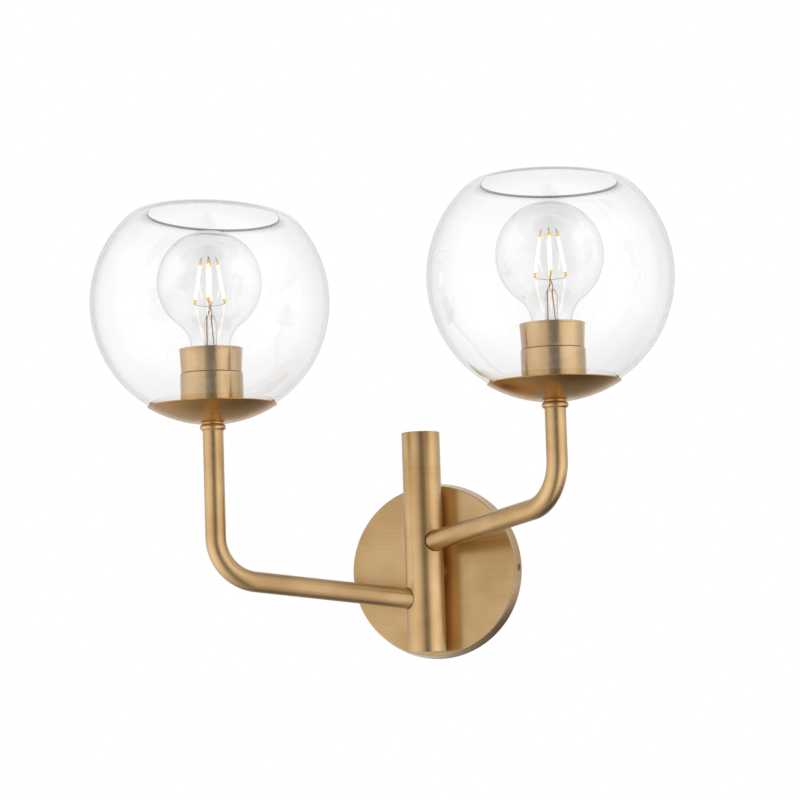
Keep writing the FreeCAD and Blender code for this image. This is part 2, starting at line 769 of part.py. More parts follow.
def make_bulb_glass(side):
    """The clear envelope: a thin sphere, a rounded neck and a foot inside the base."""
    drop = ("sqrt((bulb_radius + bulb_neck_round)^2"
            " - (bulb_neck_radius + bulb_neck_round)^2)")
    neck_top = f"({BULB_CENTRE} - {drop})"
    corners = {}
    for skin, inset in (("outer", "0"), ("inner", "bulb_wall")):
        sphere = f"(bulb_radius - {inset})"
        share = f"({sphere} / (bulb_radius + bulb_neck_round))"
        corners[skin] = [
            (f"{BASE_BORE} - {inset}", f"{BASE_TOP} - base_lap"),
            (f"{BASE_BORE} - {inset}", BASE_TOP),
            (f"bulb_neck_radius - {inset}", f"{BASE_TOP} + neck_flare"),
            (f"bulb_neck_radius - {inset}", neck_top, f"bulb_neck_round + {inset}", "right"),
            (f"(bulb_neck_radius + bulb_neck_round) * {share}",
             f"{BULB_CENTRE} - {drop} * {share}", sphere, "left"),
            (sphere, BULB_CENTRE, sphere, "left"),
            ("0", f"{BULB_CENTRE} + {sphere}"),
        ]
    outside = corners["outer"]
    foot, lap, flare, neck, shoulder, waist, crown = corners["inner"]
    inside = [
        crown + (waist[2], "right"),
        waist[:2] + (shoulder[2], "right"),
        shoulder[:2] + (neck[2], "left"),
        neck[:2],
        flare,
        lap,
        foot,
    ]
    lamp_node(turned(outside + inside), side, "bulb_glass")


def make_bulb_inside(side):
    """The glass stem, the lead wires and the four leaning filaments."""
    flare_radius = f"{BASE_BORE} - bulb_wall"
    foot = f"{BASE_TOP} - base_lap"
    stem = turned([
        ("0", foot),
        (flare_radius, foot),
        (flare_radius, f"{foot} + bulb_wall"),
        ("bulb_stem_radius", f"{foot} + bulb_stem_radius"),
        ("bulb_stem_radius", f"{BULB_STEM_TOP} - bulb_stem_radius"),
        ("lead_hub_radius", BULB_STEM_TOP),
        ("0", BULB_STEM_TOP),
    ])
    lamp_node(stem, side, "bulb_stem")
    sticks = []
    hub = Vector(0, 0, size(f"{BULB_CENTRE} + filament_foot - lead_hub_drop"))
    crown = Vector(0, 0, size(f"{BULB_CENTRE} + filament_head + lead_crown_rise"))
    wires = [rod("lead_hub_radius", f"{BULB_CENTRE} + filament_foot - {BULB_STEM_TOP}",
                 Vector(0, 0, size(BULB_STEM_TOP)), Vector(0, 0, 1)),
             rod("lead_wire_radius",
                 "filament_head - filament_foot + lead_hub_drop + lead_crown_rise",
                 hub, Vector(0, 0, 1))]
    for stick in range(FILAMENT_COUNT):
        turn = Rotation(Vector(0, 0, 1), size("filament_turn") + 360 / FILAMENT_COUNT * stick)
        low = turn.multVec(Vector(size("filament_foot_spread"), 0,
                                  size(f"{BULB_CENTRE} + filament_foot")))
        high = turn.multVec(Vector(size("filament_head_spread"), 0,
                                   size(f"{BULB_CENTRE} + filament_head")))
        slant = "sqrt((filament_foot_spread - filament_head_spread)^2"
        sticks.append(rod("filament_radius", f"{slant} + (filament_head - filament_foot)^2)",
                          low, high - low))
        wires.append(rod("lead_wire_radius",
                         "sqrt(filament_foot_spread^2 + lead_hub_drop^2)",
                         hub, low - hub))
        wires.append(rod("lead_wire_radius",
                         "sqrt(filament_head_spread^2 + lead_crown_rise^2)",
                         crown, high - crown))
    filaments = lamp_node(joined(sticks), side, "bulb_filaments")
    lamp_node(cut(joined(wires), [stick_cutter(filaments)]), side, "bulb_wires")


def stick_cutter(filaments):
    """A copy of the filaments, still in the lamp frame, that trims the wires' ends."""
    return joined(filaments.Shapes)


def make_lamp(side):
    make_arm_tip(side)
    make_dish(side)
    make_lamp_nipple(side)
    make_globe(side)
    make_gaskets(side)
    make_cup(side)
    make_ring(side)
    make_socket(side)
    make_bulb_base(side)
    make_bulb_glass(side)
    make_bulb_inside(side)


def check():
    """Stops at a feature that failed or a sub-part whose solid isn't whole."""
    doc.recompute()
    for feature in doc.Objects:
        if "Invalid" in feature.State or "Error" in feature.State:
            raise ValueError(f"{feature.Name} ({feature.Label}) failed")
    for part in nodes:
        if part.Shape.isNull() or not part.Shape.isValid() or not part.Shape.Solids:
            raise ValueError(f"{part.Label} is not a valid solid")


def export():
    os.makedirs("parts", exist_ok=True)
    for part in nodes:
        part.Shape.exportStep(os.path.join("parts", f"{part.Label}.step"))
        print(f"{part.Label}: {part.Shape.Volume:.0f} mm3")


make_canopy()
make_side_screws()
make_bracket()
make_ground_screw()
make_centre_nipple()
make_standoff()
make_stem()
make_saddle()
make_stem_screws()
for lamp_side in LAMP_SIDES:
    make_arm_block(lamp_side)
    make_arm(lamp_side)
    make_lamp(lamp_side)
check()
export()
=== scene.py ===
"""Double arm wall sconce: brass canopy, stem and arms, two open glass globes, two lit bulbs.

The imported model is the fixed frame. Each piece here stands where its CAD node stands, in
metres, with X along the wall, Y into the wall and Z up.
"""

import math
from functools import partial
from types import SimpleNamespace

import bmesh
import bpy
from bpy.props import FloatProperty, FloatVectorProperty, PointerProperty
from bpy.types import Operator, Panel, PropertyGroup
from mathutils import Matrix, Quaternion, Vector


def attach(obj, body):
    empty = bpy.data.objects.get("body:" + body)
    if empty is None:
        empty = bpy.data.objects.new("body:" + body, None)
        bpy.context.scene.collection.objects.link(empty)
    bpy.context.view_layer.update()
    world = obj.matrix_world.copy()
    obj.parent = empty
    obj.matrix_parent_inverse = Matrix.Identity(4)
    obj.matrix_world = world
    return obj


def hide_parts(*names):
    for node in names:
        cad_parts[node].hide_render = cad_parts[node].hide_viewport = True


bl_info = {
    "name": "Double Arm Wall Sconce",
    "version": (1, 0, 0),
    "blender": (4, 5, 0),
    "location": "3D View > Sidebar > Sconce",
    "description": "Builds a brass wall sconce with two glass globes on its packed frame",
    "category": "Object",
}

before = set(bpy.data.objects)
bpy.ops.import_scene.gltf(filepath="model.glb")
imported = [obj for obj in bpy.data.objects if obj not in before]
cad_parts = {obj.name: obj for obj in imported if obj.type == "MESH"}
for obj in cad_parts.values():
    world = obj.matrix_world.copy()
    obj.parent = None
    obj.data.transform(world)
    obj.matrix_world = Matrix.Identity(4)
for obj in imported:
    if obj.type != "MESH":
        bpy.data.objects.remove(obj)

SIDES = {"left": -1, "right": 1}
MM = 0.001

# How finely a piece is turned: the points round its axis, the steps of its arcs, and the
# shortest step that an arc needs.
SEGMENTS = 128
FINE_SEGMENTS = 256
GLASS_SEGMENTS = 320
ARC_STEP = math.radians(3)
GLASS_ARC_STEP = math.radians(2)
ARC_PIECE = 0.12 * MM
LEAST_ARC_STEPS = 3
SMOOTH_ANGLE = math.radians(32)

# The round on a sleeve's edges, and the play of a nipple in its hole and a bulb in its base.
EDGE = 0.35 * MM
NIPPLE_PLAY = 0.2 * MM
BASE_PLAY = 0.4 * MM

# The filaments of a bulb, how far the first is turned from the X axis, and their wires.
FILAMENTS = 4
FILAMENT_TURN = math.radians(17)
THICK_WIRE = 0.34 * MM
KNOT_WIRE = 0.32 * MM
THIN_WIRE = 0.22 * MM

# Brush marks in the brass: how far apart they are drawn, and how many follow on in a metre.
BRUSH_GAP = 0.9 * MM
BRUSH_RUNS = 9
# Spun brass is painted a deeper, darker yellow than tube: a painted reflection of the brass arm
# and collar that the dishes mirror.
SPUN_PAINTED_REFLECTION = (1.0, 0.85, 0.62)

# The studio's level in reflections: by the angle from the room's middle towards the right,
# again by that angle for what looks down, and by the height of the way a reflection looks.
STUDIO_WALLS = (
    (-180, 0.85), (-150, 0.85), (-125, 0.75), (-100, 1.0), (-75, 1.3), (-45, 1.35),
    (-26, 1.1), (-8, 1.0), (6, 0.35), (20, 0.16), (34, 0.2), (45, 1.05), (60, 1.45),
    (92, 1.5), (115, 1.05), (140, 0.75), (160, 0.8), (180, 0.85))
STUDIO_FOOT = (
    (-180, 0.3), (-150, 0.55), (-110, 1.0), (-80, 1.0), (80, 1.0), (110, 0.35), (140, 0.16),
    (160, 0.18), (180, 0.3))
STUDIO_HEIGHTS = (
    (-1.0, 0.5), (-0.9, 0.6), (-0.75, 0.85), (-0.57, 1.1), (-0.3, 1.2), (-0.1, 1.0),
    (0.5, 1.0), (0.8, 0.7), (1.0, 0.55))
# How much of the studio a second reflection still shows.
STUDIO_ECHO = 0.4
# The world's level as a light on the object, against 1 where it is seen.
WORLD_LIGHT = 0.55

# Each soft box: name, azimuth, elevation, width, height and radiance.
SOFT_BOXES = (
    ("left_soft_box", -42, 25, 1.1, 1.4, 1.0),
    ("top_soft_box", 20, 78, 1.6, 1.6, 1.2))
SOFT_BOX_DISTANCE = 2.2

FLOOR_SIZE = 8
FLOOR_LEVEL = -0.45
# How far the floor is lifted towards white where it is seen, without lighting the object.
FLOOR_LIFT = 0.34

CAMERA_EYE = (0.7432, -2.3201, -0.1276)
CAMERA_TARGET = (-0.0204, -0.0178, 0.1323)
CAMERA_ROLL = math.radians(-1.828)
CAMERA_LENS = 142.51


# Colours and sizes


def linear(code):
    """The linear colour of an sRGB hex value."""
    channels = [int(code[place:place + 2], 16) / 255 for place in (1, 3, 5)]
    return tuple(
        part / 12.92 if part <= 0.04045 else ((part + 0.055) / 1.055) ** 2.4
        for part in channels)


def length(name, description, millimetres):
    """A length that a user would change."""
    return FloatProperty(
        name=name, description=description, default=millimetres * MM, unit="LENGTH",
        precision=5)


def turn(name, description, degrees):
    """An angle that a user would change."""
    return FloatProperty(
        name=name, description=description, default=math.radians(degrees), subtype="ANGLE",
        unit="ROTATION")


def colour(name, description, code):
    """A colour that a user would change."""
    return FloatVectorProperty(
        name=name, description=description, default=linear(code), subtype="COLOR", size=3,
        min=0, max=1)


class SconceMetalSizes(PropertyGroup):
    """Sizes of the canopy, the stem and the arms."""

    canopy_radius: length("Canopy radius", "Radius of the back rim", 67.3)
    canopy_shoulder: length("Canopy shoulder", "Radius where the wall meets the bevel", 65.2)
    canopy_depth: length("Canopy depth", "How far the face stands off the wall", 11.0)
    canopy_sheet: length("Canopy sheet", "Thickness of the spun sheet", 1.2)
    canopy_bevel: length("Canopy bevel", "Round between face and wall", 0.8)
    nipple_radius: length("Nipple radius", "Outer radius of the hollow nipples", 4.9)
    standoff_length: length("Stand-off length", "Gap between canopy and stem", 7.0)
    stem_radius: length("Stem radius", "Outer radius of the stem", 14.5)
    stem_wall: length("Stem wall", "Wall of the stem tube", 1.5)
    stem_top: length("Stem top", "Top of the stem above the canopy's centre", 104.5)
    stem_bottom: length("Stem bottom", "Foot of the stem below the canopy's centre", 62.6)
    arm_radius: length("Arm radius", "Outer radius of the arm tubes", 7.75)
    arm_wall: length("Arm wall", "Wall of the arm tubes", 1.4)
    arm_reach: length("Arm reach", "From the stem's axis to a lamp's axis, on plan", 162.0)
    arm_bend: length("Arm bend", "Radius of the arm's bend on its centre line", 34.0)
    arm_inset: length("Arm inset", "Start of the arm from the stem's axis", 4.0)
    arm_splay: turn("Arm splay", "How far an arm turns away from the wall", 34.8)
    arm_climb: turn("Arm climb", "How far an arm rises where it leaves the stem", 7.0)
    left_entry: length("Left entry", "Height at which the left arm leaves the stem", -23.4)
    right_entry: length("Right entry", "Height at which the right arm leaves the stem", 19.5)


class SconceLampSizes(PropertyGroup):
    """Sizes of the globes, the cups and the bulbs."""

    height: length("Globe height", "Height of the globes' centres", 203.0)
    globe_radius: length("Globe radius", "Outer radius of a glass globe", 90.0)
    globe_wall: length("Globe wall", "Thickness of the glass", 3.0)
    mouth_radius: length("Mouth radius", "Radius of the globe's open top", 50.8)
    lip_wall: length("Lip wall", "Thickness of the fire-polished lip", 2.0)
    left_mouth: length("Left mouth", "Height of the left lip above the globe's centre", 68.2)
    right_mouth: length("Right mouth", "Height of the right lip above the globe's centre", 70.4)
    left_lean_back: turn("Left lean back", "Lean of the left mouth towards the wall", 3.6)
    left_lean_right: turn("Left lean right", "Lean of the left mouth to the right", 2.5)
    right_lean_back: turn("Right lean back", "Lean of the right mouth towards the wall", 1.7)
    right_lean_right: turn("Right lean right", "Lean of the right mouth to the right", 0.7)
    hole_radius: length("Hole radius", "Radius of the ground hole below", 20.5)
    seat_gap: length("Seat gap", "Thickness of the soft ring under the glass", 0.8)
    dish_sheet: length("Dish sheet", "Thickness of the dish", 0.8)
    dish_rim: length("Dish rim", "Radius of the dish's rim", 48.8)
    dish_pad: length("Dish pad", "Radius of the flat under the dish", 14.1)
    cup_radius: length("Cup radius", "Radius of the lower cup", 23.6)
    cup_wall: length("Cup wall", "Wall of the lower cup", 1.6)
    cup_rise: length("Cup rise", "Height of the lower cup", 29.3)
    ring_foot: length("Ring foot", "Radius of the upper ring at its groove", 22.8)
    ring_lip: length("Ring lip", "Radius of the upper ring at its lip", 23.9)
    ring_wall: length("Ring wall", "Wall of the upper ring", 1.5)
    ring_rise: length("Ring rise", "Height of the upper ring", 18.4)
    holder_radius: length("Holder radius", "Radius of the lamp holder", 17.5)
    bulb_radius: length("Bulb radius", "Radius of the bulb's globe", 39.5)
    bulb_wall: length("Bulb wall", "Thickness of the bulb's glass", 0.5)
    bulb_neck: length("Bulb neck", "Radius of the bulb's neck", 14.7)
    bulb_neck_round: length("Neck round", "Hollow round between globe and neck", 22.0)
    bulb_length: length("Bulb length", "From the tip to the crown", 118.0)
    base_radius: length("Base radius", "Radius of the screw base", 13.0)
    mount_radius: length("Mount radius", "Radius of the glass mount", 4.6)
    filament_radius: length("Filament radius", "Radius of a filament", 0.9)
    filament_foot: length("Filament foot", "How far the filaments spread below", 11.4)
    filament_head: length("Filament head", "How far the filaments spread above", 6.1)


class SconceFinishes(PropertyGroup):
    """Colours of the finishes."""

    brass: colour("Brass", "Lacquered brass where it is clean", "#CBA97A")
    brass_worn: colour("Toned brass", "Lacquered brass where it has toned down", "#BD9A69")
    zinc: colour("Zinc plate", "Zinc-plated steel", "#B9BABA")
    nickel: colour("Nickel plate", "Nickel-plated brass", "#C9C4B8")
    phosphor: colour("Phosphor", "Unlit phosphor on the filaments' ends", "#EDB950")
    glow: colour("Glow", "Light of the filaments", "#FFE9C4")
    floor: colour("Floor", "Pale floor", "#ECEAE6")


# Modelling


def deselect():
    """Leaves nothing selected, so that an operator acts on the new piece alone."""
    bpy.ops.object.select_all(action="DESELECT")


def select_only(piece):
    deselect()
    piece.select_set(True)
    bpy.context.view_layer.objects.active = piece


def edit(piece):
    select_only(piece)
    bpy.ops.object.mode_set(mode="EDIT")


def leave():
    bpy.ops.object.mode_set(mode="OBJECT")


def pick_faces(test):
    """Picks, in edit mode, the faces that a test passes."""
    bpy.ops.mesh.select_mode(type="FACE")
    bpy.ops.mesh.select_all(action="DESELECT")
    mesh = bmesh.from_edit_mesh(bpy.context.edit_object.data)
    for face in mesh.faces:
        if test(face):
            face.select_set(True)
    mesh.select_flush_mode()
    bmesh.update_edit_mesh(bpy.context.edit_object.data)


def tidy_mesh():
    """Merges doubled points and turns all faces outwards, in edit mode."""
    bpy.ops.mesh.select_mode(type="VERT")
    bpy.ops.mesh.select_all(action="SELECT")
    bpy.ops.mesh.remove_doubles(threshold=2e-6)
    bpy.ops.mesh.normals_make_consistent(inside=False)


def settle(piece, place=(0, 0, 0), rotation=(0, 0, 0)):
    """Puts a piece in its place and leaves its object at the origin, unturned."""
    select_only(piece)
    piece.location = place
    piece.rotation_euler = rotation
    bpy.ops.object.transform_apply(location=True, rotation=True, scale=True)


def apply_modifier(piece, kind, **settings):
    """Adds a modifier and applies it."""
    select_only(piece)
    modifier = piece.modifiers.new(kind.title(), kind)
    for name, value in settings.items():
        setattr(modifier, name, value)
    bpy.ops.object.modifier_apply(modifier=modifier.name)


def arc_centre(start, end, radius):
    """The centre of the short arc between two points; a positive radius has it on the left."""
    chord = end - start
    rise = math.sqrt(max(radius ** 2 - chord.length_squared / 4, 0))
    left = Vector((-chord.z, 0, chord.x)).normalized()
    return (start + end) / 2 + left * math.copysign(rise, radius)


def turned(name, outline, segments=SEGMENTS, arc_step=ARC_STEP):
    """A piece turned about the Z axis from a closed walk of (radius, height) points.

    A point with a third number is reached along an arc of that radius, whose centre lies on
    the left of the walk, or on the right where the radius is negative.
    """
    deselect()
    points = [Vector((point[0], 0, point[1])) for point in outline]
    bpy.ops.mesh.primitive_plane_add(size=MM, location=points[0])
    piece = bpy.context.active_object
    piece.name = piece.data.name = name
    bpy.ops.object.transform_apply(location=True)
    edit(piece)
    bpy.ops.mesh.select_mode(type="VERT")
    bpy.ops.mesh.select_all(action="SELECT")
    bpy.ops.mesh.merge(type="CENTER")
    walk = zip([*outline[1:], outline[0][:2]], points, [*points[1:], points[0]])
    for point, here, there in walk:
        if len(point) == 3:
            centre = arc_centre(here, there, point[2])
            angle = (here - centre).angle(there - centre)
            steps = min(
                math.ceil(angle / arc_step), math.ceil(abs(point[2]) * angle / ARC_PIECE))
            bpy.ops.mesh.spin(
                steps=max(LEAST_ARC_STEPS, steps), angle=angle, center=centre,
                axis=(0, math.copysign(1, point[2]), 0))
        else:
            bpy.ops.mesh.extrude_region_move(TRANSFORM_OT_translate={"value": there - here})
    bpy.ops.mesh.select_all(action="SELECT")
    bpy.ops.mesh.spin(steps=segments, angle=2 * math.pi, center=(0, 0, 0), axis=(0, 0, 1))
    tidy_mesh()
    bpy.ops.mesh.delete_loose()
    leave()
    return piece


def sleeve(name, inner, outer, low, high):
    """A turned tube with rounded outer edges."""
    return turned(name, [
        (inner, low), (outer - EDGE, low), (outer, low + EDGE, EDGE),
        (outer, high - EDGE), (outer - EDGE, high, EDGE), (inner, high),
    ], FINE_SEGMENTS)


def cylinder(radius, start, end, segments):
    """A round bar between two points."""
    deselect()
    start, end = Vector(start), Vector(end)
    along = end - start
    bpy.ops.mesh.primitive_cylinder_add(
        vertices=segments, radius=radius, depth=along.length, location=(start + end) / 2,
        rotation=along.to_track_quat("Z", "Y").to_euler())
    bpy.ops.object.transform_apply(location=True, rotation=True)
    return bpy.context.active_object


def drill(piece, radius, start, end, segments=64):
    """Drills a hole between two points."""
    cutter = cylinder(radius, start, end, segments)
    apply_modifier(piece, "BOOLEAN", object=cutter, operation="DIFFERENCE", solver="EXACT")
    bpy.data.objects.remove(cutter)


def wire(points, radius):
    """A drawn wire along points, rounded by its curve, as a closed mesh."""
    deselect()
    bpy.ops.curve.primitive_nurbs_path_add()
    curve = bpy.context.active_object
    curve.data.splines.clear()
    spline = curve.data.splines.new("NURBS")
    spline.points.add(len(points) - 1)
    for control, point in zip(spline.points, points):
        control.co = (*point, 1)
    spline.order_u = 3
    spline.use_endpoint_u = True
    spline.resolution_u = 8
    curve.data.dimensions = "3D"
    curve.data.bevel_depth = radius
    curve.data.bevel_resolution = 4
    curve.data.use_fill_caps = True
    bpy.ops.object.convert(target="MESH")
    piece = bpy.context.active_object
    edit(piece)
    tidy_mesh()
    leave()
    return piece


def copied(piece, rotation):
    """A copy of a piece with its own mesh, turned about the Z axis."""
    select_only(piece)
    bpy.ops.object.duplicate()
    twin = bpy.context.active_object
    settle(twin, rotation=(0, 0, rotation))
    return twin


def gathered(name, pieces):
    """Joins pieces into one."""
    select_only(pieces[0])
    for piece in pieces:
        piece.select_set(True)
    bpy.ops.object.join()
    pieces[0].name = pieces[0].data.name = name
    return pieces[0]


def dress(piece, *materials):
    piece.data.materials.clear()
    for material in materials:
        piece.data.materials.append(material)


def finished(piece, kind, *nodes, place=(0, 0, 0), body="fixture", slot="aged_brass"):
    """Places, smooths and dresses a piece, which rides on its body in place of its nodes."""
    settle(piece, place)
    bpy.ops.object.shade_smooth_by_angle(angle=SMOOTH_ANGLE)
    if kind:
        dress(piece, material_of(kind))
    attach(piece, body)
    if nodes:
        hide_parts(*nodes)


def redress(kind, *nodes):
    """Gives CAD nodes that stay their better material."""
    for node in nodes:
        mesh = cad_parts[node].data
        if not mesh.materials:
            mesh.materials.append(material_of(kind))
        for place in range(len(mesh.materials)):
            mesh.materials[place] = material_of(kind)


def stem_axis():
    """How far the stem's axis stands off the wall."""
    metal = bpy.context.scene.sconce_metal
    return metal.canopy_depth + metal.standoff_length + metal.stem_radius


def lamp_place(side):
    """The centre of a globe."""
    metal = bpy.context.scene.sconce_metal
    return Vector((
        SIDES[side] * metal.arm_reach * math.cos(metal.arm_splay),
        -(stem_axis() + metal.arm_reach * math.sin(metal.arm_splay)),
        bpy.context.scene.sconce_lamp.height))


def below(sphere, radius):
    """The height of a ring of that radius on the lower half of a sphere."""
    return -math.sqrt(sphere ** 2 - radius ** 2)


def lamp_levels():
    """Heights in a lamp, from the globe's centre."""
    lamp = bpy.context.scene.sconce_lamp
    outside = lamp.globe_radius + lamp.seat_gap + lamp.dish_sheet
    at = SimpleNamespace()
    at.dish_bottom = below(outside, lamp.dish_pad)
    at.dish_rim = below(outside, lamp.dish_rim)
    at.dish_floor = at.dish_bottom + lamp.dish_sheet
    at.cup_foot = below(lamp.globe_radius - lamp.globe_wall, lamp.cup_radius) + 1.0 * MM
    at.cup_top = at.cup_foot + lamp.cup_rise
    at.ring_foot = at.cup_top + 0.4 * MM
    at.ring_top = at.ring_foot + lamp.ring_rise
    holder_foot = at.dish_floor + 5.0 * MM
    tip = holder_foot + 21.7 * MM
    insulator = tip + 1.5 * MM
    base_foot = insulator + 4.5 * MM
    at.base_top = base_foot + 18.0 * MM
    at.glass_foot = at.base_top - 4.0 * MM
    at.bulb = tip + lamp.bulb_length - lamp.bulb_radius
    at.mount_top = at.bulb - 24.3 * MM
    at.filament_low = at.bulb - 16.2 * MM
    at.filament_high = at.bulb + 16.9 * MM
    return at


# Materials


def add_node(tree, kind, inputs=None, **settings):
    """Adds a node, changes its settings, and sets or links its inputs.

    An input that is given as a node takes that node's first output.
    """
    node = tree.nodes.new("ShaderNode" + kind)
    for name, value in settings.items():
        setattr(node, name, value)
    for name, value in (inputs or {}).items():
        if isinstance(value, bpy.types.Node):
            value = value.outputs[0]
        if isinstance(value, bpy.types.NodeSocket):
            tree.links.new(value, node.inputs[name])
        else:
            node.inputs[name].default_value = value
    return node


def new_material(name, maker):
    """A node material, whose maker adds nodes and says what goes to the output."""
    material = bpy.data.materials.new(name)
    material.use_nodes = True
    material.node_tree.nodes.clear()
    add = partial(add_node, material.node_tree)
    add("OutputMaterial", maker(add, add("TexCoord").outputs["Object"]))
    return material


def rgba(value):
    return (*value, 1.0)


def brass(add, place, axis=None, polish=0.0, tone=(1, 1, 1), coat=0.3):
    """Satin brass: yellow brass, brushed on the lathe and clear lacquered.

    The warm yellow comes from the metal itself, the soft bands from the brushed surface and
    its pale gloss from the lacquer. The brush marks are about 0.15 mm apart in the real
    finish and are drawn 0.9 mm apart, which is as fine as the render can show. They run
    level, or as rings about the upright axis of a spun piece.
    """
    finishes = bpy.context.scene.sconce_finishes
    if axis is None:
        grain = add("Mapping", {
            "Vector": place, "Scale": (BRUSH_RUNS, BRUSH_RUNS, 1 / BRUSH_GAP)})
    else:
        centred = add("Mapping", {
            "Vector": place, "Location": (-axis.x, -axis.y, 0), "Scale": (1, 1, 0)})
        reach = add("VectorMath", {0: centred}, operation="LENGTH").outputs["Value"]
        ring = add("Math", {0: reach, 1: 1 / BRUSH_GAP}, operation="MULTIPLY")
        lifted = add("CombineXYZ", {"Z": ring})
        spread = add("VectorMath", {0: place, 1: (BRUSH_RUNS,) * 3}, operation="MULTIPLY")
        grain = add("VectorMath", {0: spread, 1: lifted}, operation="ADD")
    marks = add("TexNoise", {"Vector": grain, "Scale": 1.0, "Detail": 3.0, "Roughness": 0.6})
    patch = add("TexNoise", {"Vector": place, "Scale": 1 / (35 * MM), "Detail": 2.0})
    worn_share = add("MapRange", {"Value": patch, "From Min": 0.38, "From Max": 0.62})
    # The tone scales both colours; on the spun dishes it is a painted reflection of brass seen
    # in brass.
    clean, worn = (
        rgba([part * share for part, share in zip(shade, tone)])
        for shade in (finishes.brass, finishes.brass_worn))
    body = add("Mix", {0: worn_share, 6: clean, 7: worn}, data_type="RGBA")
    streak = add("MapRange", {
        "Value": marks, "From Min": 0.25, "From Max": 0.75, "To Min": 0.93, "To Max": 1.05})
    tinted = add("VectorMath", {0: body.outputs[2], 1: streak}, operation="MULTIPLY")
    rough = add("MapRange", {
        "Value": marks, "From Min": 0.2, "From Max": 0.8, "To Min": 0.31 - polish,
        "To Max": 0.4 - polish})
    relief = add("Bump", {"Height": marks, "Strength": 0.12, "Distance": 0.05 * MM})
    return {"Surface": add("BsdfPrincipled", {
        "Base Color": tinted, "Metallic": 1.0, "Roughness": rough, "Normal": relief,
        "Coat Weight": coat, "Coat Roughness": 0.25, "Coat IOR": 1.48})}


def plated_steel(add, place, tint, roughness, fleck, depth):
    """Plated steel: a thin electroplated coat over rolled or turned steel.

    The plating is cool and even, with a faint cloud and fine flecks from the bath.
    """
    cloud = add("TexNoise", {"Vector": place, "Scale": 1 / (6 * MM), "Detail": 4.0})
    grit = add("TexNoise", {"Vector": place, "Scale": 1 / (fleck * MM), "Detail": 2.0})
    dull = [part * 0.8 for part in tint]
    body = add("Mix", {0: cloud, 6: rgba(tint), 7: rgba(dull)}, data_type="RGBA")
    rough = add("MapRange", {
        "Value": cloud, "From Min": 0.3, "From Max": 0.7, "To Min": roughness - 0.06,
        "To Max": roughness + 0.08})
    relief = add("Bump", {"Height": grit, "Strength": 0.15, "Distance": depth * MM})
    return {"Surface": add("BsdfPrincipled", {
        "Base Color": body.outputs[2], "Metallic": 1.0, "Roughness": rough,
        "Normal": relief})}


def glass(add, place, tint, density, index, wave, clear=1.0):
    """Clear soda-lime glass, blown: white in the clear, grey to green along its edges.

    The light lost on the long way through the edge of the wall draws the outline. Blowing
    leaves slow waves, centimetres long, which bend what shows through a little. A lip that
    was ground before it was fire-polished is less than clear, and shows as a grey line.
    """
    waves = add("TexNoise", {"Vector": place, "Scale": 1 / (wave * MM), "Detail": 1.0})
    relief = add("Bump", {"Height": waves, "Strength": 0.006, "Distance": 1.0 * MM})
    shader = add("BsdfPrincipled", {
        "Base Color": (1, 1, 1, 1), "Roughness": 0.0, "IOR": index,
        "Transmission Weight": clear, "Normal": relief})
    body = add("VolumeAbsorption", {"Color": rgba(linear(tint)), "Density": density})
    return {"Surface": shader, "Volume": body}


def moulded(add, place, code, roughness, grain, coat=0.0):
    """A moulded or fired insulating part: an even body with a fine skin.

    Phenolic has a dull skin with a faint flow grain, and the vitreous insulator is glossy.
    """
    flow = add("TexNoise", {"Vector": place, "Scale": 1 / (grain * MM), "Detail": 5.0})
    dark = linear(code)
    light = [min(1.0, part * 1.5 + 0.004) for part in dark]
    body = add("Mix", {0: flow, 6: rgba(dark), 7: rgba(light)}, data_type="RGBA")
    relief = add("Bump", {"Height": flow, "Strength": 0.2, "Distance": 0.05 * MM})
    return {"Surface": add("BsdfPrincipled", {
        "Base Color": body.outputs[2], "Roughness": roughness, "IOR": 1.55,
        "Normal": relief, "Coat Weight": coat})}


def phosphor(add, place, glow, strength, code):
    """A filament's phosphor coat: a soft-edged stick that burns evenly along its length."""
    beads = add("TexNoise", {"Vector": place, "Scale": 1 / (1.2 * MM), "Detail": 1.0})
    body = add("Mix", {0: beads, 6: rgba(linear(code)), 7: rgba(glow)}, data_type="RGBA")
    return {"Surface": add("BsdfPrincipled", {
        "Base Color": body.outputs[2], "Roughness": 0.6, "IOR": 1.45,
        "Emission Color": rgba(glow), "Emission Strength": strength})}


def board(add, place):
    """Painted board: a matt pale coat with a faint mottle, lifted where it is seen."""
    mottle = add("TexNoise", {"Vector": place, "Scale": 6.0, "Detail": 3.0})
    pale = bpy.context.scene.sconce_finishes.floor
    dull = [part * 0.97 for part in pale]
    body = add("Mix", {0: mottle, 6: rgba(pale), 7: rgba(dull)}, data_type="RGBA")
    path = add("LightPath").outputs
    seen = add("Math", {0: path["Is Camera Ray"], 1: path["Is Transmission Ray"]},
               operation="MAXIMUM")
    lift = add("Math", {0: seen, 1: FLOOR_LIFT}, operation="MULTIPLY")
    return {"Surface": add("BsdfPrincipled", {
        "Base Color": body.outputs[2], "Roughness": 0.9, "Emission Color": (1, 1, 1, 1),
        "Emission Strength": lift})}


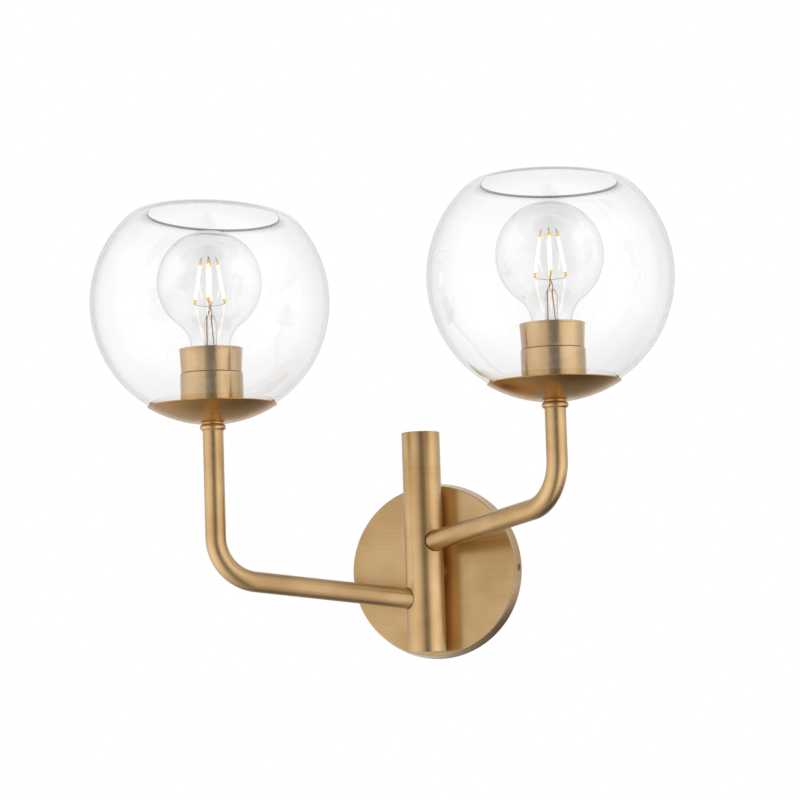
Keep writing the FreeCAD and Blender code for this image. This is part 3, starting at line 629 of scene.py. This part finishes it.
def material_of(kind):
    """The finish of that name, made when it is first asked for."""
    if kind in bpy.data.materials:
        return bpy.data.materials[kind]
    finishes = bpy.context.scene.sconce_finishes
    # The spun dishes take a painted reflection: their colour is deepened and darkened like
    # brass mirrored in brass.
    spun = partial(brass, polish=0.1, tone=SPUN_PAINTED_REFLECTION, coat=0.05)
    blown = partial(glass, tint="#B9BFC0", density=8.0, index=1.52, wave=40.0)
    makers = {
        "brushed_brass": brass,
        "fine_brushed_brass": partial(brass, polish=0.18),
        "toned_brushed_brass": partial(brass, polish=0.14, tone=(0.9, 0.9, 0.9)),
        "left_spun_brass": partial(spun, axis=lamp_place("left")),
        "right_spun_brass": partial(spun, axis=lamp_place("right")),
        "zinc_plated_steel": partial(
            plated_steel, tint=finishes.zinc, roughness=0.34, fleck=0.5, depth=0.03),
        "green_zinc_steel": partial(
            plated_steel, tint=linear("#2E6B45"), roughness=0.4, fleck=0.4, depth=0.03),
        "nickel_plated_brass": partial(
            plated_steel, tint=finishes.nickel, roughness=0.22, fleck=0.6, depth=0.02),
        "copper_clad_wire": partial(
            plated_steel, tint=linear("#C08457"), roughness=0.3, fleck=0.4, depth=0.02),
        "blown_soda_lime_glass": blown,
        "fire_polished_lip": partial(blown, clear=0.5),
        "thin_bulb_glass": partial(
            glass, tint="#B4C4B2", density=5.0, index=1.47, wave=25.0),
        "moulded_phenolic": partial(moulded, code="#1E1A18", roughness=0.42, grain=1.5),
        "vitreous_insulator": partial(
            moulded, code="#15151A", roughness=0.12, grain=2.0, coat=0.5),
        "silicone_rubber": partial(moulded, code="#C9C8C2", roughness=0.55, grain=1.0),
        "lit_phosphor": partial(
            phosphor, glow=finishes.glow, strength=2.6, code="#FFF2DA"),
        "unlit_phosphor": partial(
            phosphor, glow=finishes.phosphor, strength=0.8, code="#E0A63C"),
        "painted_board": board,
    }
    return new_material(kind, makers[kind])


# Operators, one for each piece or group of like pieces


class SCONCE_OT_canopy(Operator):
    """Turn the canopy, drill it and fit its side screws"""

    bl_idname = "sconce.canopy"
    bl_label = "Canopy"

    def execute(self, context):
        size = context.scene.sconce_metal
        bore = size.nipple_radius + NIPPLE_PLAY
        ceiling = size.canopy_depth - size.canopy_sheet
        corner = size.canopy_shoulder - size.canopy_sheet
        canopy = turned("canopy_pan", [
            (bore, ceiling), (corner - 1.0 * MM, ceiling),
            (corner + 0.2 * MM, ceiling - 1.0 * MM, -1.1 * MM),
            (size.canopy_radius - size.canopy_sheet, 0),
            (size.canopy_radius - 0.25 * MM, 0),
            (size.canopy_radius - 0.05 * MM, 0.3 * MM),
            (size.canopy_shoulder, size.canopy_depth - size.canopy_bevel),
            (size.canopy_shoulder - size.canopy_bevel, size.canopy_depth, size.canopy_bevel),
            (bore, size.canopy_depth),
        ], FINE_SEGMENTS)
        settle(canopy, rotation=(math.pi / 2, 0, 0))
        hole, screw_radius, socket = 3.1 * MM, 2.6 * MM, 1.25 * MM
        across, middle = 80 * MM, -size.canopy_depth / 2
        drill(canopy, hole, (-across, middle, 0), (across, middle, 0))
        finished(canopy, "toned_brushed_brass", "canopy")
        wall = (size.canopy_radius + size.canopy_shoulder) / 2
        screws = []
        for sign in SIDES.values():
            head = sign * (wall - 0.6 * MM)
            tail = head - sign * 5.6 * MM
            screw = cylinder(screw_radius, (tail, middle, 0), (head, middle, 0), 48)
            edit(screw)
            pick_faces(lambda face: face.normal.x * sign > 0.9)
            bpy.ops.mesh.inset(thickness=0.35 * MM, depth=0.25 * MM)
            bpy.ops.mesh.inset(thickness=0.3 * MM, depth=0)
            leave()
            drill(screw, socket, (head - sign * 1.4 * MM, middle, 0),
                  (head + sign * 2 * MM, middle, 0), segments=6)
            screws.append(screw)
        finished(gathered("canopy_set_screws", screws), "brushed_brass",
                 "canopy_side_screws")
        return {"FINISHED"}


class SCONCE_OT_bracket(Operator):
    """Finish the bracket, nipple, nut, washer and ground screw behind the canopy"""

    bl_idname = "sconce.bracket"
    bl_label = "Bracket and Hardware"

    def execute(self, context):
        redress("zinc_plated_steel", "mounting_bracket", "canopy_washer", "canopy_nut",
                "centre_nipple", "stem_saddle", "stem_screws")
        redress("green_zinc_steel", "ground_screw")
        return {"FINISHED"}


class SCONCE_OT_stem(Operator):
    """Turn the stem and its caps, and drill it for the arms and the nipple"""

    bl_idname = "sconce.stem"
    bl_label = "Stem"

    def execute(self, context):
        size = context.scene.sconce_metal
        axis = Vector((0, -stem_axis(), 0))
        bore = size.stem_radius - size.stem_wall
        tube = sleeve("stem_barrel", bore, size.stem_radius, -size.stem_bottom, size.stem_top)
        settle(tube, axis)
        climb = math.cos(size.arm_climb)
        for side, sign in SIDES.items():
            entry = axis + Vector((0, 0, getattr(size, f"{side}_entry")))
            way = Vector((sign * math.cos(size.arm_splay) * climb,
                          -math.sin(size.arm_splay) * climb, math.sin(size.arm_climb)))
            drill(tube, size.arm_radius + 0.6 * MM, entry, entry + way * 30 * MM, 96)
            drill(tube, 2.05 * MM, entry + Vector((0, 8 * MM, 0)),
                  entry + Vector((0, 20 * MM, 0)), 32)
        drill(tube, size.nipple_radius + NIPPLE_PLAY, axis, axis + Vector((0, 25 * MM, 0)), 48)
        finished(tube, "brushed_brass", "stem_tube")
        thick, seam = 3.0 * MM, 0.15 * MM
        for name, low in (("top", size.stem_top - thick), ("bottom", -size.stem_bottom)):
            high = low + thick
            cap = turned(f"stem_end_{name}", [
                (0, low), (bore - seam, low), (bore, low + seam), (bore, high - seam),
                (bore - seam, high), (0, high)])
            finished(cap, "brushed_brass", f"stem_cap_{name}", place=axis)
        redress("brushed_brass", "standoff_collar")
        return {"FINISHED"}


class SCONCE_OT_arms(Operator):
    """Bend the two arm tubes and turn the beads at their tips"""

    bl_idname = "sconce.arms"
    bl_label = "Arms"

    def execute(self, context):
        size = context.scene.sconce_metal
        top = lamp_levels().dish_bottom
        along = Vector((math.cos(size.arm_climb), 0, math.sin(size.arm_climb)))
        start = along * size.arm_inset
        corner = size.arm_reach * math.tan(size.arm_climb)
        run_in = size.arm_bend * math.tan(math.pi / 4 - size.arm_climb / 2)
        bend = Vector((size.arm_reach, 0, corner)) - along * run_in
        neck = size.arm_radius + 0.45 * MM
        for side, sign in SIDES.items():
            entry = getattr(size, f"{side}_entry")
            tip = top + context.scene.sconce_lamp.height - entry
            deselect()
            bpy.ops.mesh.primitive_circle_add(
                vertices=96, radius=size.arm_radius, location=start,
                rotation=(0, math.pi / 2 - size.arm_climb, 0))
            arm = context.active_object
            arm.name = arm.data.name = f"{side}_arm_tube"
            bpy.ops.object.transform_apply(location=True, rotation=True)
            edit(arm)
            bpy.ops.mesh.select_all(action="SELECT")
            bpy.ops.mesh.extrude_region_move(TRANSFORM_OT_translate={"value": bend - start})
            bpy.ops.mesh.spin(
                steps=48, angle=math.pi / 2 - size.arm_climb, axis=(0, 1, 0),
                center=(size.arm_reach - size.arm_bend, 0, corner + run_in))
            bpy.ops.mesh.extrude_region_move(
                TRANSFORM_OT_translate={"value": (0, 0, tip - corner - run_in)})
            tidy_mesh()
            leave()
            apply_modifier(arm, "SOLIDIFY", thickness=size.arm_wall, offset=-1)
            settle(arm, (0, -stem_axis(), entry),
                   (0, 0, -size.arm_splay if sign > 0 else math.pi + size.arm_splay))
            finished(arm, "brushed_brass", f"{side}_arm")
            bead = turned(f"{side}_arm_bead", [
                (size.arm_radius, top - 6.0 * MM), (neck - 0.1 * MM, top - 6.0 * MM),
                (neck, top - 5.8 * MM),
                (neck, top - 1.2 * MM, 2.45 * MM),
                (neck - 0.15 * MM, top - 1.1 * MM),
                (neck - 0.15 * MM, top), (size.arm_radius, top),
            ])
            finished(bead, "brushed_brass", f"{side}_arm_collar", place=lamp_place(side))
            redress("brushed_brass", f"{side}_arm_block", f"{side}_arm_bush")
        return {"FINISHED"}


class SCONCE_OT_dishes(Operator):
    """Spin the two dishes under the globes"""

    bl_idname = "sconce.dishes"
    bl_label = "Dishes"

    def execute(self, context):
        size = context.scene.sconce_lamp
        at = lamp_levels()
        bore = context.scene.sconce_metal.nipple_radius + NIPPLE_PLAY
        inside = size.globe_radius + size.seat_gap
        outside = inside + size.dish_sheet
        rim_inner = math.sqrt(inside ** 2 - at.dish_rim ** 2)
        floor_edge = math.sqrt(inside ** 2 - at.dish_floor ** 2)
        for side in SIDES:
            dish = turned(f"{side}_spun_dish", [
                (bore, at.dish_bottom), (size.dish_pad, at.dish_bottom),
                (size.dish_rim - 0.2 * MM, at.dish_rim - 0.12 * MM, outside),
                (rim_inner + 0.1 * MM, at.dish_rim + 0.02 * MM, 0.6 * MM),
                (rim_inner - 0.1 * MM, at.dish_rim - 0.06 * MM),
                (floor_edge, at.dish_floor, -inside), (bore, at.dish_floor),
            ], FINE_SEGMENTS)
            finished(dish, f"{side}_spun_brass", f"{side}_dish", place=lamp_place(side))
            redress("zinc_plated_steel", f"{side}_lamp_nipple", f"{side}_lamp_washer",
                    f"{side}_lamp_nut")
            redress("silicone_rubber", f"{side}_dish_gasket", f"{side}_cup_gasket")
        return {"FINISHED"}


class SCONCE_OT_globes(Operator):
    """Blow the two glass globes, with their open mouths, and grind the holes below"""

    bl_idname = "sconce.globes"
    bl_label = "Globes"

    def execute(self, context):
        size = context.scene.sconce_lamp
        outside, inside = size.globe_radius, size.globe_radius - size.globe_wall
        mouth = size.mouth_radius
        for side in SIDES:
            rim = getattr(size, f"{side}_mouth")
            reach = ((outside - rim) ** 2 + mouth ** 2) / (2 * (outside - rim))
            shoulder = outside - reach
            way = math.asin(mouth / reach)
            globe = turned(f"{side}_blown_globe", [
                (0, -outside), (outside, 0, outside),
                (outside * math.sin(way), outside * math.cos(way), outside),
                (mouth, rim, shoulder),
                (mouth, rim - size.lip_wall, size.lip_wall / 2),
                (inside * math.sin(way), inside * math.cos(way), -shoulder),
                (inside, 0, -inside), (0, -inside, -inside),
            ], GLASS_SEGMENTS, GLASS_ARC_STEP)
            dress(globe, material_of("blown_soda_lime_glass"), material_of("fire_polished_lip"))
            for face in globe.data.polygons:
                spot = face.center
                face.material_index = spot.z > 0 and math.hypot(spot.x, spot.y) < mouth
            settle(globe, rotation=(-getattr(size, f"{side}_lean_back"),
                                    getattr(size, f"{side}_lean_right"), 0))
            drill(globe, size.hole_radius, (0, 0, -95 * MM), (0, 0, -75 * MM), 96)
            finished(globe, None, f"{side}_glass_globe", place=lamp_place(side),
                     slot="clear_glass")
        return {"FINISHED"}


class SCONCE_OT_cups(Operator):
    """Turn the two-part cups round the lamp holders"""

    bl_idname = "sconce.cups"
    bl_label = "Cups"

    def execute(self, context):
        size = context.scene.sconce_lamp
        at = lamp_levels()
        thread = size.holder_radius + 0.35 * MM
        flange = at.ring_foot + 6.0 * MM
        for side in SIDES:
            place = lamp_place(side)
            cup = sleeve(f"{side}_cup_sleeve", size.cup_radius - size.cup_wall,
                         size.cup_radius, at.cup_foot, at.cup_top)
            finished(cup, "fine_brushed_brass", f"{side}_lower_cup", place=place)
            ring = turned(f"{side}_cup_ring", [
                (thread, at.ring_foot), (size.ring_foot - EDGE, at.ring_foot),
                (size.ring_foot, at.ring_foot + EDGE, EDGE),
                (size.ring_lip - 0.25 * MM, at.ring_top - 1.6 * MM),
                (size.ring_lip, at.ring_top - 1.3 * MM),
                (size.ring_lip, at.ring_top - EDGE),
                (size.ring_lip - EDGE, at.ring_top, EDGE),
                (size.ring_lip - size.ring_wall, at.ring_top),
                (size.ring_foot - size.ring_wall, flange), (thread, flange),
            ], FINE_SEGMENTS)
            finished(ring, "fine_brushed_brass", f"{side}_shade_ring", place=place,
                     body=f"{side}_ring")
            redress("moulded_phenolic", f"{side}_socket_body")
            redress("nickel_plated_brass", f"{side}_socket_shell", f"{side}_socket_contact")
        return {"FINISHED"}


class SCONCE_OT_bulbs(Operator):
    """Blow the two bulbs and finish their screw bases"""

    bl_idname = "sconce.bulbs"
    bl_label = "Bulbs"

    def execute(self, context):
        size = context.scene.sconce_lamp
        at = lamp_levels()
        throat = size.base_radius - BASE_PLAY
        flare = at.base_top + 2.6 * MM
        drop = math.sqrt((size.bulb_radius + size.bulb_neck_round) ** 2
                         - (size.bulb_neck + size.bulb_neck_round) ** 2)

        def wall(inset):
            """The neck, shoulder, waist and crown, inset, and the radii of the two arcs."""
            sphere = size.bulb_radius - inset
            share = sphere / (size.bulb_radius + size.bulb_neck_round)
            return ((size.bulb_neck - inset, at.bulb - drop),
                    ((size.bulb_neck + size.bulb_neck_round) * share, at.bulb - drop * share),
                    (sphere, at.bulb), (0, at.bulb + sphere), sphere,
                    size.bulb_neck_round + inset)

        neck, shoulder, waist, crown, sphere, hollow = wall(0)
        inner_neck, inner_shoulder, inner_waist, inner_crown, inside, inner_hollow = (
            wall(size.bulb_wall))
        for side in SIDES:
            envelope = turned(f"{side}_bulb_envelope", [
                (throat - size.bulb_wall, at.glass_foot), (throat, at.glass_foot),
                (throat, at.base_top), (size.bulb_neck, flare),
                neck, (*shoulder, -hollow), (*waist, sphere), (*crown, sphere),
                inner_crown, (*inner_waist, -inside), (*inner_shoulder, -inside),
                (*inner_neck, inner_hollow),
                (size.bulb_neck - size.bulb_wall, flare),
                (throat - size.bulb_wall, at.base_top),
            ])
            finished(envelope, "thin_bulb_glass", f"{side}_bulb_glass",
                     place=lamp_place(side), body=f"{side}_bulb", slot="bulb_glass")
            redress("nickel_plated_brass", f"{side}_bulb_base", f"{side}_bulb_tip")
            redress("vitreous_insulator", f"{side}_bulb_insulator")
        return {"FINISHED"}


def leads(at):
    """Two leads in the mount and the knot above it."""
    top, hub, foot = at.mount_top, at.filament_low - 2.0 * MM, at.base_top - 1.0 * MM

    def spot(x, y, level):
        return x * MM, y * MM, level

    return [
        wire([spot(-1.9, 0.4, foot), spot(-1.9, 0.3, top - 9 * MM), spot(-1.7, 0, top),
              spot(-0.4, 0.2, hub)], THICK_WIRE),
        wire([spot(2.6, -0.3, foot), spot(1.2, -0.3, top - 10 * MM),
              spot(0.4, 0.2, top - 2 * MM), spot(1.9, 0.2, top + 2.0 * MM),
              spot(0.3, 0, hub)], THICK_WIRE),
        wire([spot(-1.6, 0.6, top + 0.5 * MM), spot(-0.2, -1.2, top + 2.5 * MM),
              spot(1.6, 0.4, top + 3.2 * MM), spot(-0.6, 1.3, top + 4.6 * MM),
              spot(-0.9, -0.6, hub + 0.4 * MM), spot(0, 0, hub + 1.4 * MM)], KNOT_WIRE),
    ]


def supports(at, turns):
    """The middle rod, the spokes below, and a hook or a stub on each filament's head."""
    size = bpy.context.scene.sconce_lamp
    low, high = at.filament_low, at.filament_high

    def up(level):
        return Vector((0, 0, level))

    hub = low - 2.0 * MM
    crest = up(high + 2.6 * MM)
    wires = [wire([up(hub - 1.0 * MM), (0.2 * MM, 0, (low + high) / 2), crest], THICK_WIRE)]
    for count, angle in enumerate(turns):
        out = Vector((math.cos(angle), math.sin(angle), 0))
        foot, head = out * size.filament_foot, out * size.filament_head
        wires.append(wire([
            up(hub), out * 3.5 * MM + up(hub + 0.4 * MM), foot * 0.96 + up(low - 0.7 * MM),
            foot + up(low + 0.6 * MM)], THIN_WIRE))
        if count % 2:
            way = [head * 0.9 + crest, head * 0.5 + crest, crest]
        else:
            way = [head * 0.95 + up(high + 1.0 * MM), head * 0.86 + crest]
        wires.append(wire([head + up(high - 0.5 * MM), *way], THICK_WIRE))
    return wires


class SCONCE_OT_filaments(Operator):
    """Draw the glass mounts, the lead wires and the lit filaments"""

    bl_idname = "sconce.filaments"
    bl_label = "Filaments"

    def execute(self, context):
        size = context.scene.sconce_lamp
        at = lamp_levels()
        flare = size.base_radius - BASE_PLAY - size.bulb_wall
        foot, top = at.glass_foot, at.mount_top
        height = at.filament_high - at.filament_low
        lean = math.atan2(size.filament_foot - size.filament_head, height)
        rise = height / math.cos(lean)
        cap, pin, pin_radius = 3.8 * MM, 0.9 * MM, 0.5 * MM
        holder = size.filament_radius * 1.2
        turns = [FILAMENT_TURN + count * 2 * math.pi / FILAMENTS for count in range(FILAMENTS)]
        for side in SIDES:
            ride = partial(finished, place=lamp_place(side), body=f"{side}_bulb")
            mount = turned(f"{side}_bulb_mount", [
                (0, foot), (flare, foot), (flare, foot + 0.8 * MM),
                (size.mount_radius + 1.2 * MM, foot + 3.0 * MM),
                (size.mount_radius, foot + 6.0 * MM),
                (size.mount_radius, top - 5.0 * MM),
                (2.6 * MM, top - 0.6 * MM), (0, top),
            ], 64)
            ride(mount, "thin_bulb_glass", f"{side}_bulb_stem", slot="bulb_glass")
            stick = turned("stick", [
                (0, 0), (pin_radius, 0), (pin_radius, pin), (holder, pin),
                (holder, cap - 0.3 * MM), (size.filament_radius, cap),
                (size.filament_radius, rise - cap), (holder, rise - cap + 0.3 * MM),
                (holder, rise - pin), (pin_radius, rise - pin), (pin_radius, rise), (0, rise),
            ], 24)
            dress(stick, material_of("lit_phosphor"), material_of("unlit_phosphor"),
                  material_of("nickel_plated_brass"))
            for face in stick.data.polygons:
                end = min(face.center.z, rise - face.center.z)
                face.material_index = 2 if end < pin else 1 if end < cap + 0.2 * MM else 0
            settle(stick, (size.filament_foot, 0, at.filament_low), (0, -lean, 0))
            sticks = [copied(stick, angle) for angle in turns]
            bpy.data.objects.remove(stick)
            ride(gathered(f"{side}_lit_filaments", sticks), None, f"{side}_bulb_filaments",
                 slot="filament")
            ride(gathered(f"{side}_lead_wires", leads(at)), "copper_clad_wire",
                 f"{side}_bulb_wires", slot="nickel")
            ride(gathered(f"{side}_support_wires", supports(at, turns)),
                 "nickel_plated_brass", slot="nickel")
        return {"FINISHED"}


def hang_lamps(context):
    """A large soft box overhead, and a smaller one from the left."""
    for name, azimuth, elevation, wide, tall, radiance in SOFT_BOXES:
        a, e = math.radians(azimuth), math.radians(elevation)
        back = Vector((math.sin(a) * math.cos(e), -math.cos(a) * math.cos(e), math.sin(e)))
        bpy.ops.object.light_add(
            type="AREA", location=back * SOFT_BOX_DISTANCE,
            rotation=(-back).to_track_quat("-Z", "Y").to_euler())
        lamp = context.active_object
        lamp.name = name
        lamp.data.shape = "RECTANGLE"
        lamp.data.size, lamp.data.size_y = wide, tall
        lamp.data.energy = radiance * math.pi * wide * tall
        lamp.visible_camera = lamp.visible_transmission = lamp.visible_glossy = False


def light_world(scene):
    """White where the camera looks; a white studio with one dark side in reflections."""
    scene.world = bpy.data.worlds.new("studio")
    scene.world.use_nodes = True
    scene.world.node_tree.nodes.clear()
    add = partial(add_node, scene.world.node_tree)
    path = add("LightPath").outputs
    way = add("SeparateXYZ", {0: add("TexCoord").outputs["Generated"]}).outputs
    room = add("Math", {0: way["Y"], 1: -1.0}, operation="MULTIPLY")
    azimuth = add("Math", {0: way["X"], 1: room}, operation="ARCTAN2")
    angle = add("MapRange", {
        "Value": azimuth, "From Min": -math.pi, "From Max": math.pi})
    height = add("MapRange", {"Value": way["Z"], "From Min": -1.0})
    ramps = []
    for share, stops in (
            (angle, STUDIO_WALLS), (angle, STUDIO_FOOT), (height, STUDIO_HEIGHTS)):
        ramps.append(add("ValToRGB", {0: share}))
        ramp = ramps[-1].color_ramp
        ramp.interpolation = "EASE"
        ramp.elements.remove(ramp.elements[-1])
        first, span = stops[0][0], stops[-1][0] - stops[0][0]
        for count, (place, level) in enumerate(stops):
            position = (place - first) / span
            stop = ramp.elements.new(position) if count else ramp.elements[0]
            stop.position = position
            stop.color = (level, level, level, 1)
    walls, foot, heights = ramps
    blend = {"data_type": "RGBA", "blend_type": "MULTIPLY"}
    studio = add("Mix", {0: 1.0, 6: walls, 7: heights}, **blend)
    down = add("MapRange", {"Value": way["Z"], "From Min": -0.15, "From Max": -0.45})
    low_studio = add("Mix", {0: down, 6: studio.outputs[2], 7: foot}, **blend)
    depth = path["Glossy Depth"]
    once = add("Math", {0: depth, 1: 1.0, 2: 0.1}, operation="COMPARE")
    again = add("Math", {0: depth, 1: 1.5}, operation="GREATER_THAN")
    mirrored = add("Math", {0: again, 1: STUDIO_ECHO, 2: once}, operation="MULTIPLY_ADD")
    seen_colour = add("Mix", {
        0: mirrored, 6: (1, 1, 1, 1), 7: low_studio.outputs[2]}, data_type="RGBA")
    gloss = add("Math", {0: path["Is Camera Ray"], 1: path["Is Glossy Ray"]},
                operation="MAXIMUM")
    seen = add("Math", {0: gloss, 1: path["Is Transmission Ray"]}, operation="MAXIMUM")
    soft = add("Background", {"Color": (1, 1, 1, 1), "Strength": WORLD_LIGHT})
    white = add("Background", {"Color": seen_colour.outputs[2], "Strength": 1.0})
    add("OutputWorld", {"Surface": add("MixShader", {0: seen, 1: soft, 2: white})})


def stand_camera(context):
    """The photograph's view: from a little to the right and just below."""
    eye, target = Vector(CAMERA_EYE), Vector(CAMERA_TARGET)
    bpy.ops.object.camera_add(location=eye)
    camera = context.active_object
    camera.name = "camera"
    camera.rotation_mode = "QUATERNION"
    camera.rotation_quaternion = ((target - eye).to_track_quat("-Z", "Y")
                                  @ Quaternion((0, 0, 1), CAMERA_ROLL))
    camera.data.lens = CAMERA_LENS
    camera.data.clip_start, camera.data.clip_end = 0.05, 50
    context.scene.camera = camera


class SCONCE_OT_stage(Operator):
    """Lay the pale floor, hang the soft lights and stand the camera"""

    bl_idname = "sconce.stage"
    bl_label = "Stage"

    def execute(self, context):
        scene = context.scene
        scene.view_settings.view_transform = "Standard"
        deselect()
        bpy.ops.mesh.primitive_plane_add(size=FLOOR_SIZE, location=(0, 0, FLOOR_LEVEL))
        floor = context.active_object
        floor.name = "floor"
        dress(floor, material_of("painted_board"))
        floor.visible_glossy = False
        hang_lamps(context)
        light_world(scene)
        stand_camera(context)
        return {"FINISHED"}


class SCONCE_PT_panel(Panel):
    """Lists the steps of the build in the sidebar"""

    bl_idname = "SCONCE_PT_panel"
    bl_label = "Wall Sconce"
    bl_space_type = "VIEW_3D"
    bl_region_type = "UI"
    bl_category = "Sconce"

    def draw(self, context):
        for operator in OPERATORS:
            self.layout.operator(operator.bl_idname)
        scene = context.scene
        for group in (scene.sconce_metal, scene.sconce_lamp, scene.sconce_finishes):
            column = self.layout.column(align=True)
            for name in group.__annotations__:
                column.prop(group, name)


OPERATORS = (
    SCONCE_OT_canopy, SCONCE_OT_bracket, SCONCE_OT_stem, SCONCE_OT_arms, SCONCE_OT_dishes,
    SCONCE_OT_globes, SCONCE_OT_cups, SCONCE_OT_bulbs, SCONCE_OT_filaments, SCONCE_OT_stage)
CLASSES = (SconceMetalSizes, SconceLampSizes, SconceFinishes, *OPERATORS, SCONCE_PT_panel)


def register():
    for part in CLASSES:
        bpy.utils.register_class(part)
    bpy.types.Scene.sconce_metal = PointerProperty(type=SconceMetalSizes)
    bpy.types.Scene.sconce_lamp = PointerProperty(type=SconceLampSizes)
    bpy.types.Scene.sconce_finishes = PointerProperty(type=SconceFinishes)


def unregister():
    del bpy.types.Scene.sconce_finishes
    del bpy.types.Scene.sconce_lamp
    del bpy.types.Scene.sconce_metal
    for part in reversed(CLASSES):
        bpy.utils.unregister_class(part)


def main():
    """Builds the sconce on its frame."""
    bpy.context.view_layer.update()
    register()
    bpy.ops.sconce.canopy()
    bpy.ops.sconce.bracket()
    bpy.ops.sconce.stem()
    bpy.ops.sconce.arms()
    bpy.ops.sconce.dishes()
    bpy.ops.sconce.globes()
    bpy.ops.sconce.cups()
    bpy.ops.sconce.bulbs()
    bpy.ops.sconce.filaments()
    bpy.ops.sconce.stage()


if __name__ == "__main__":
    main()
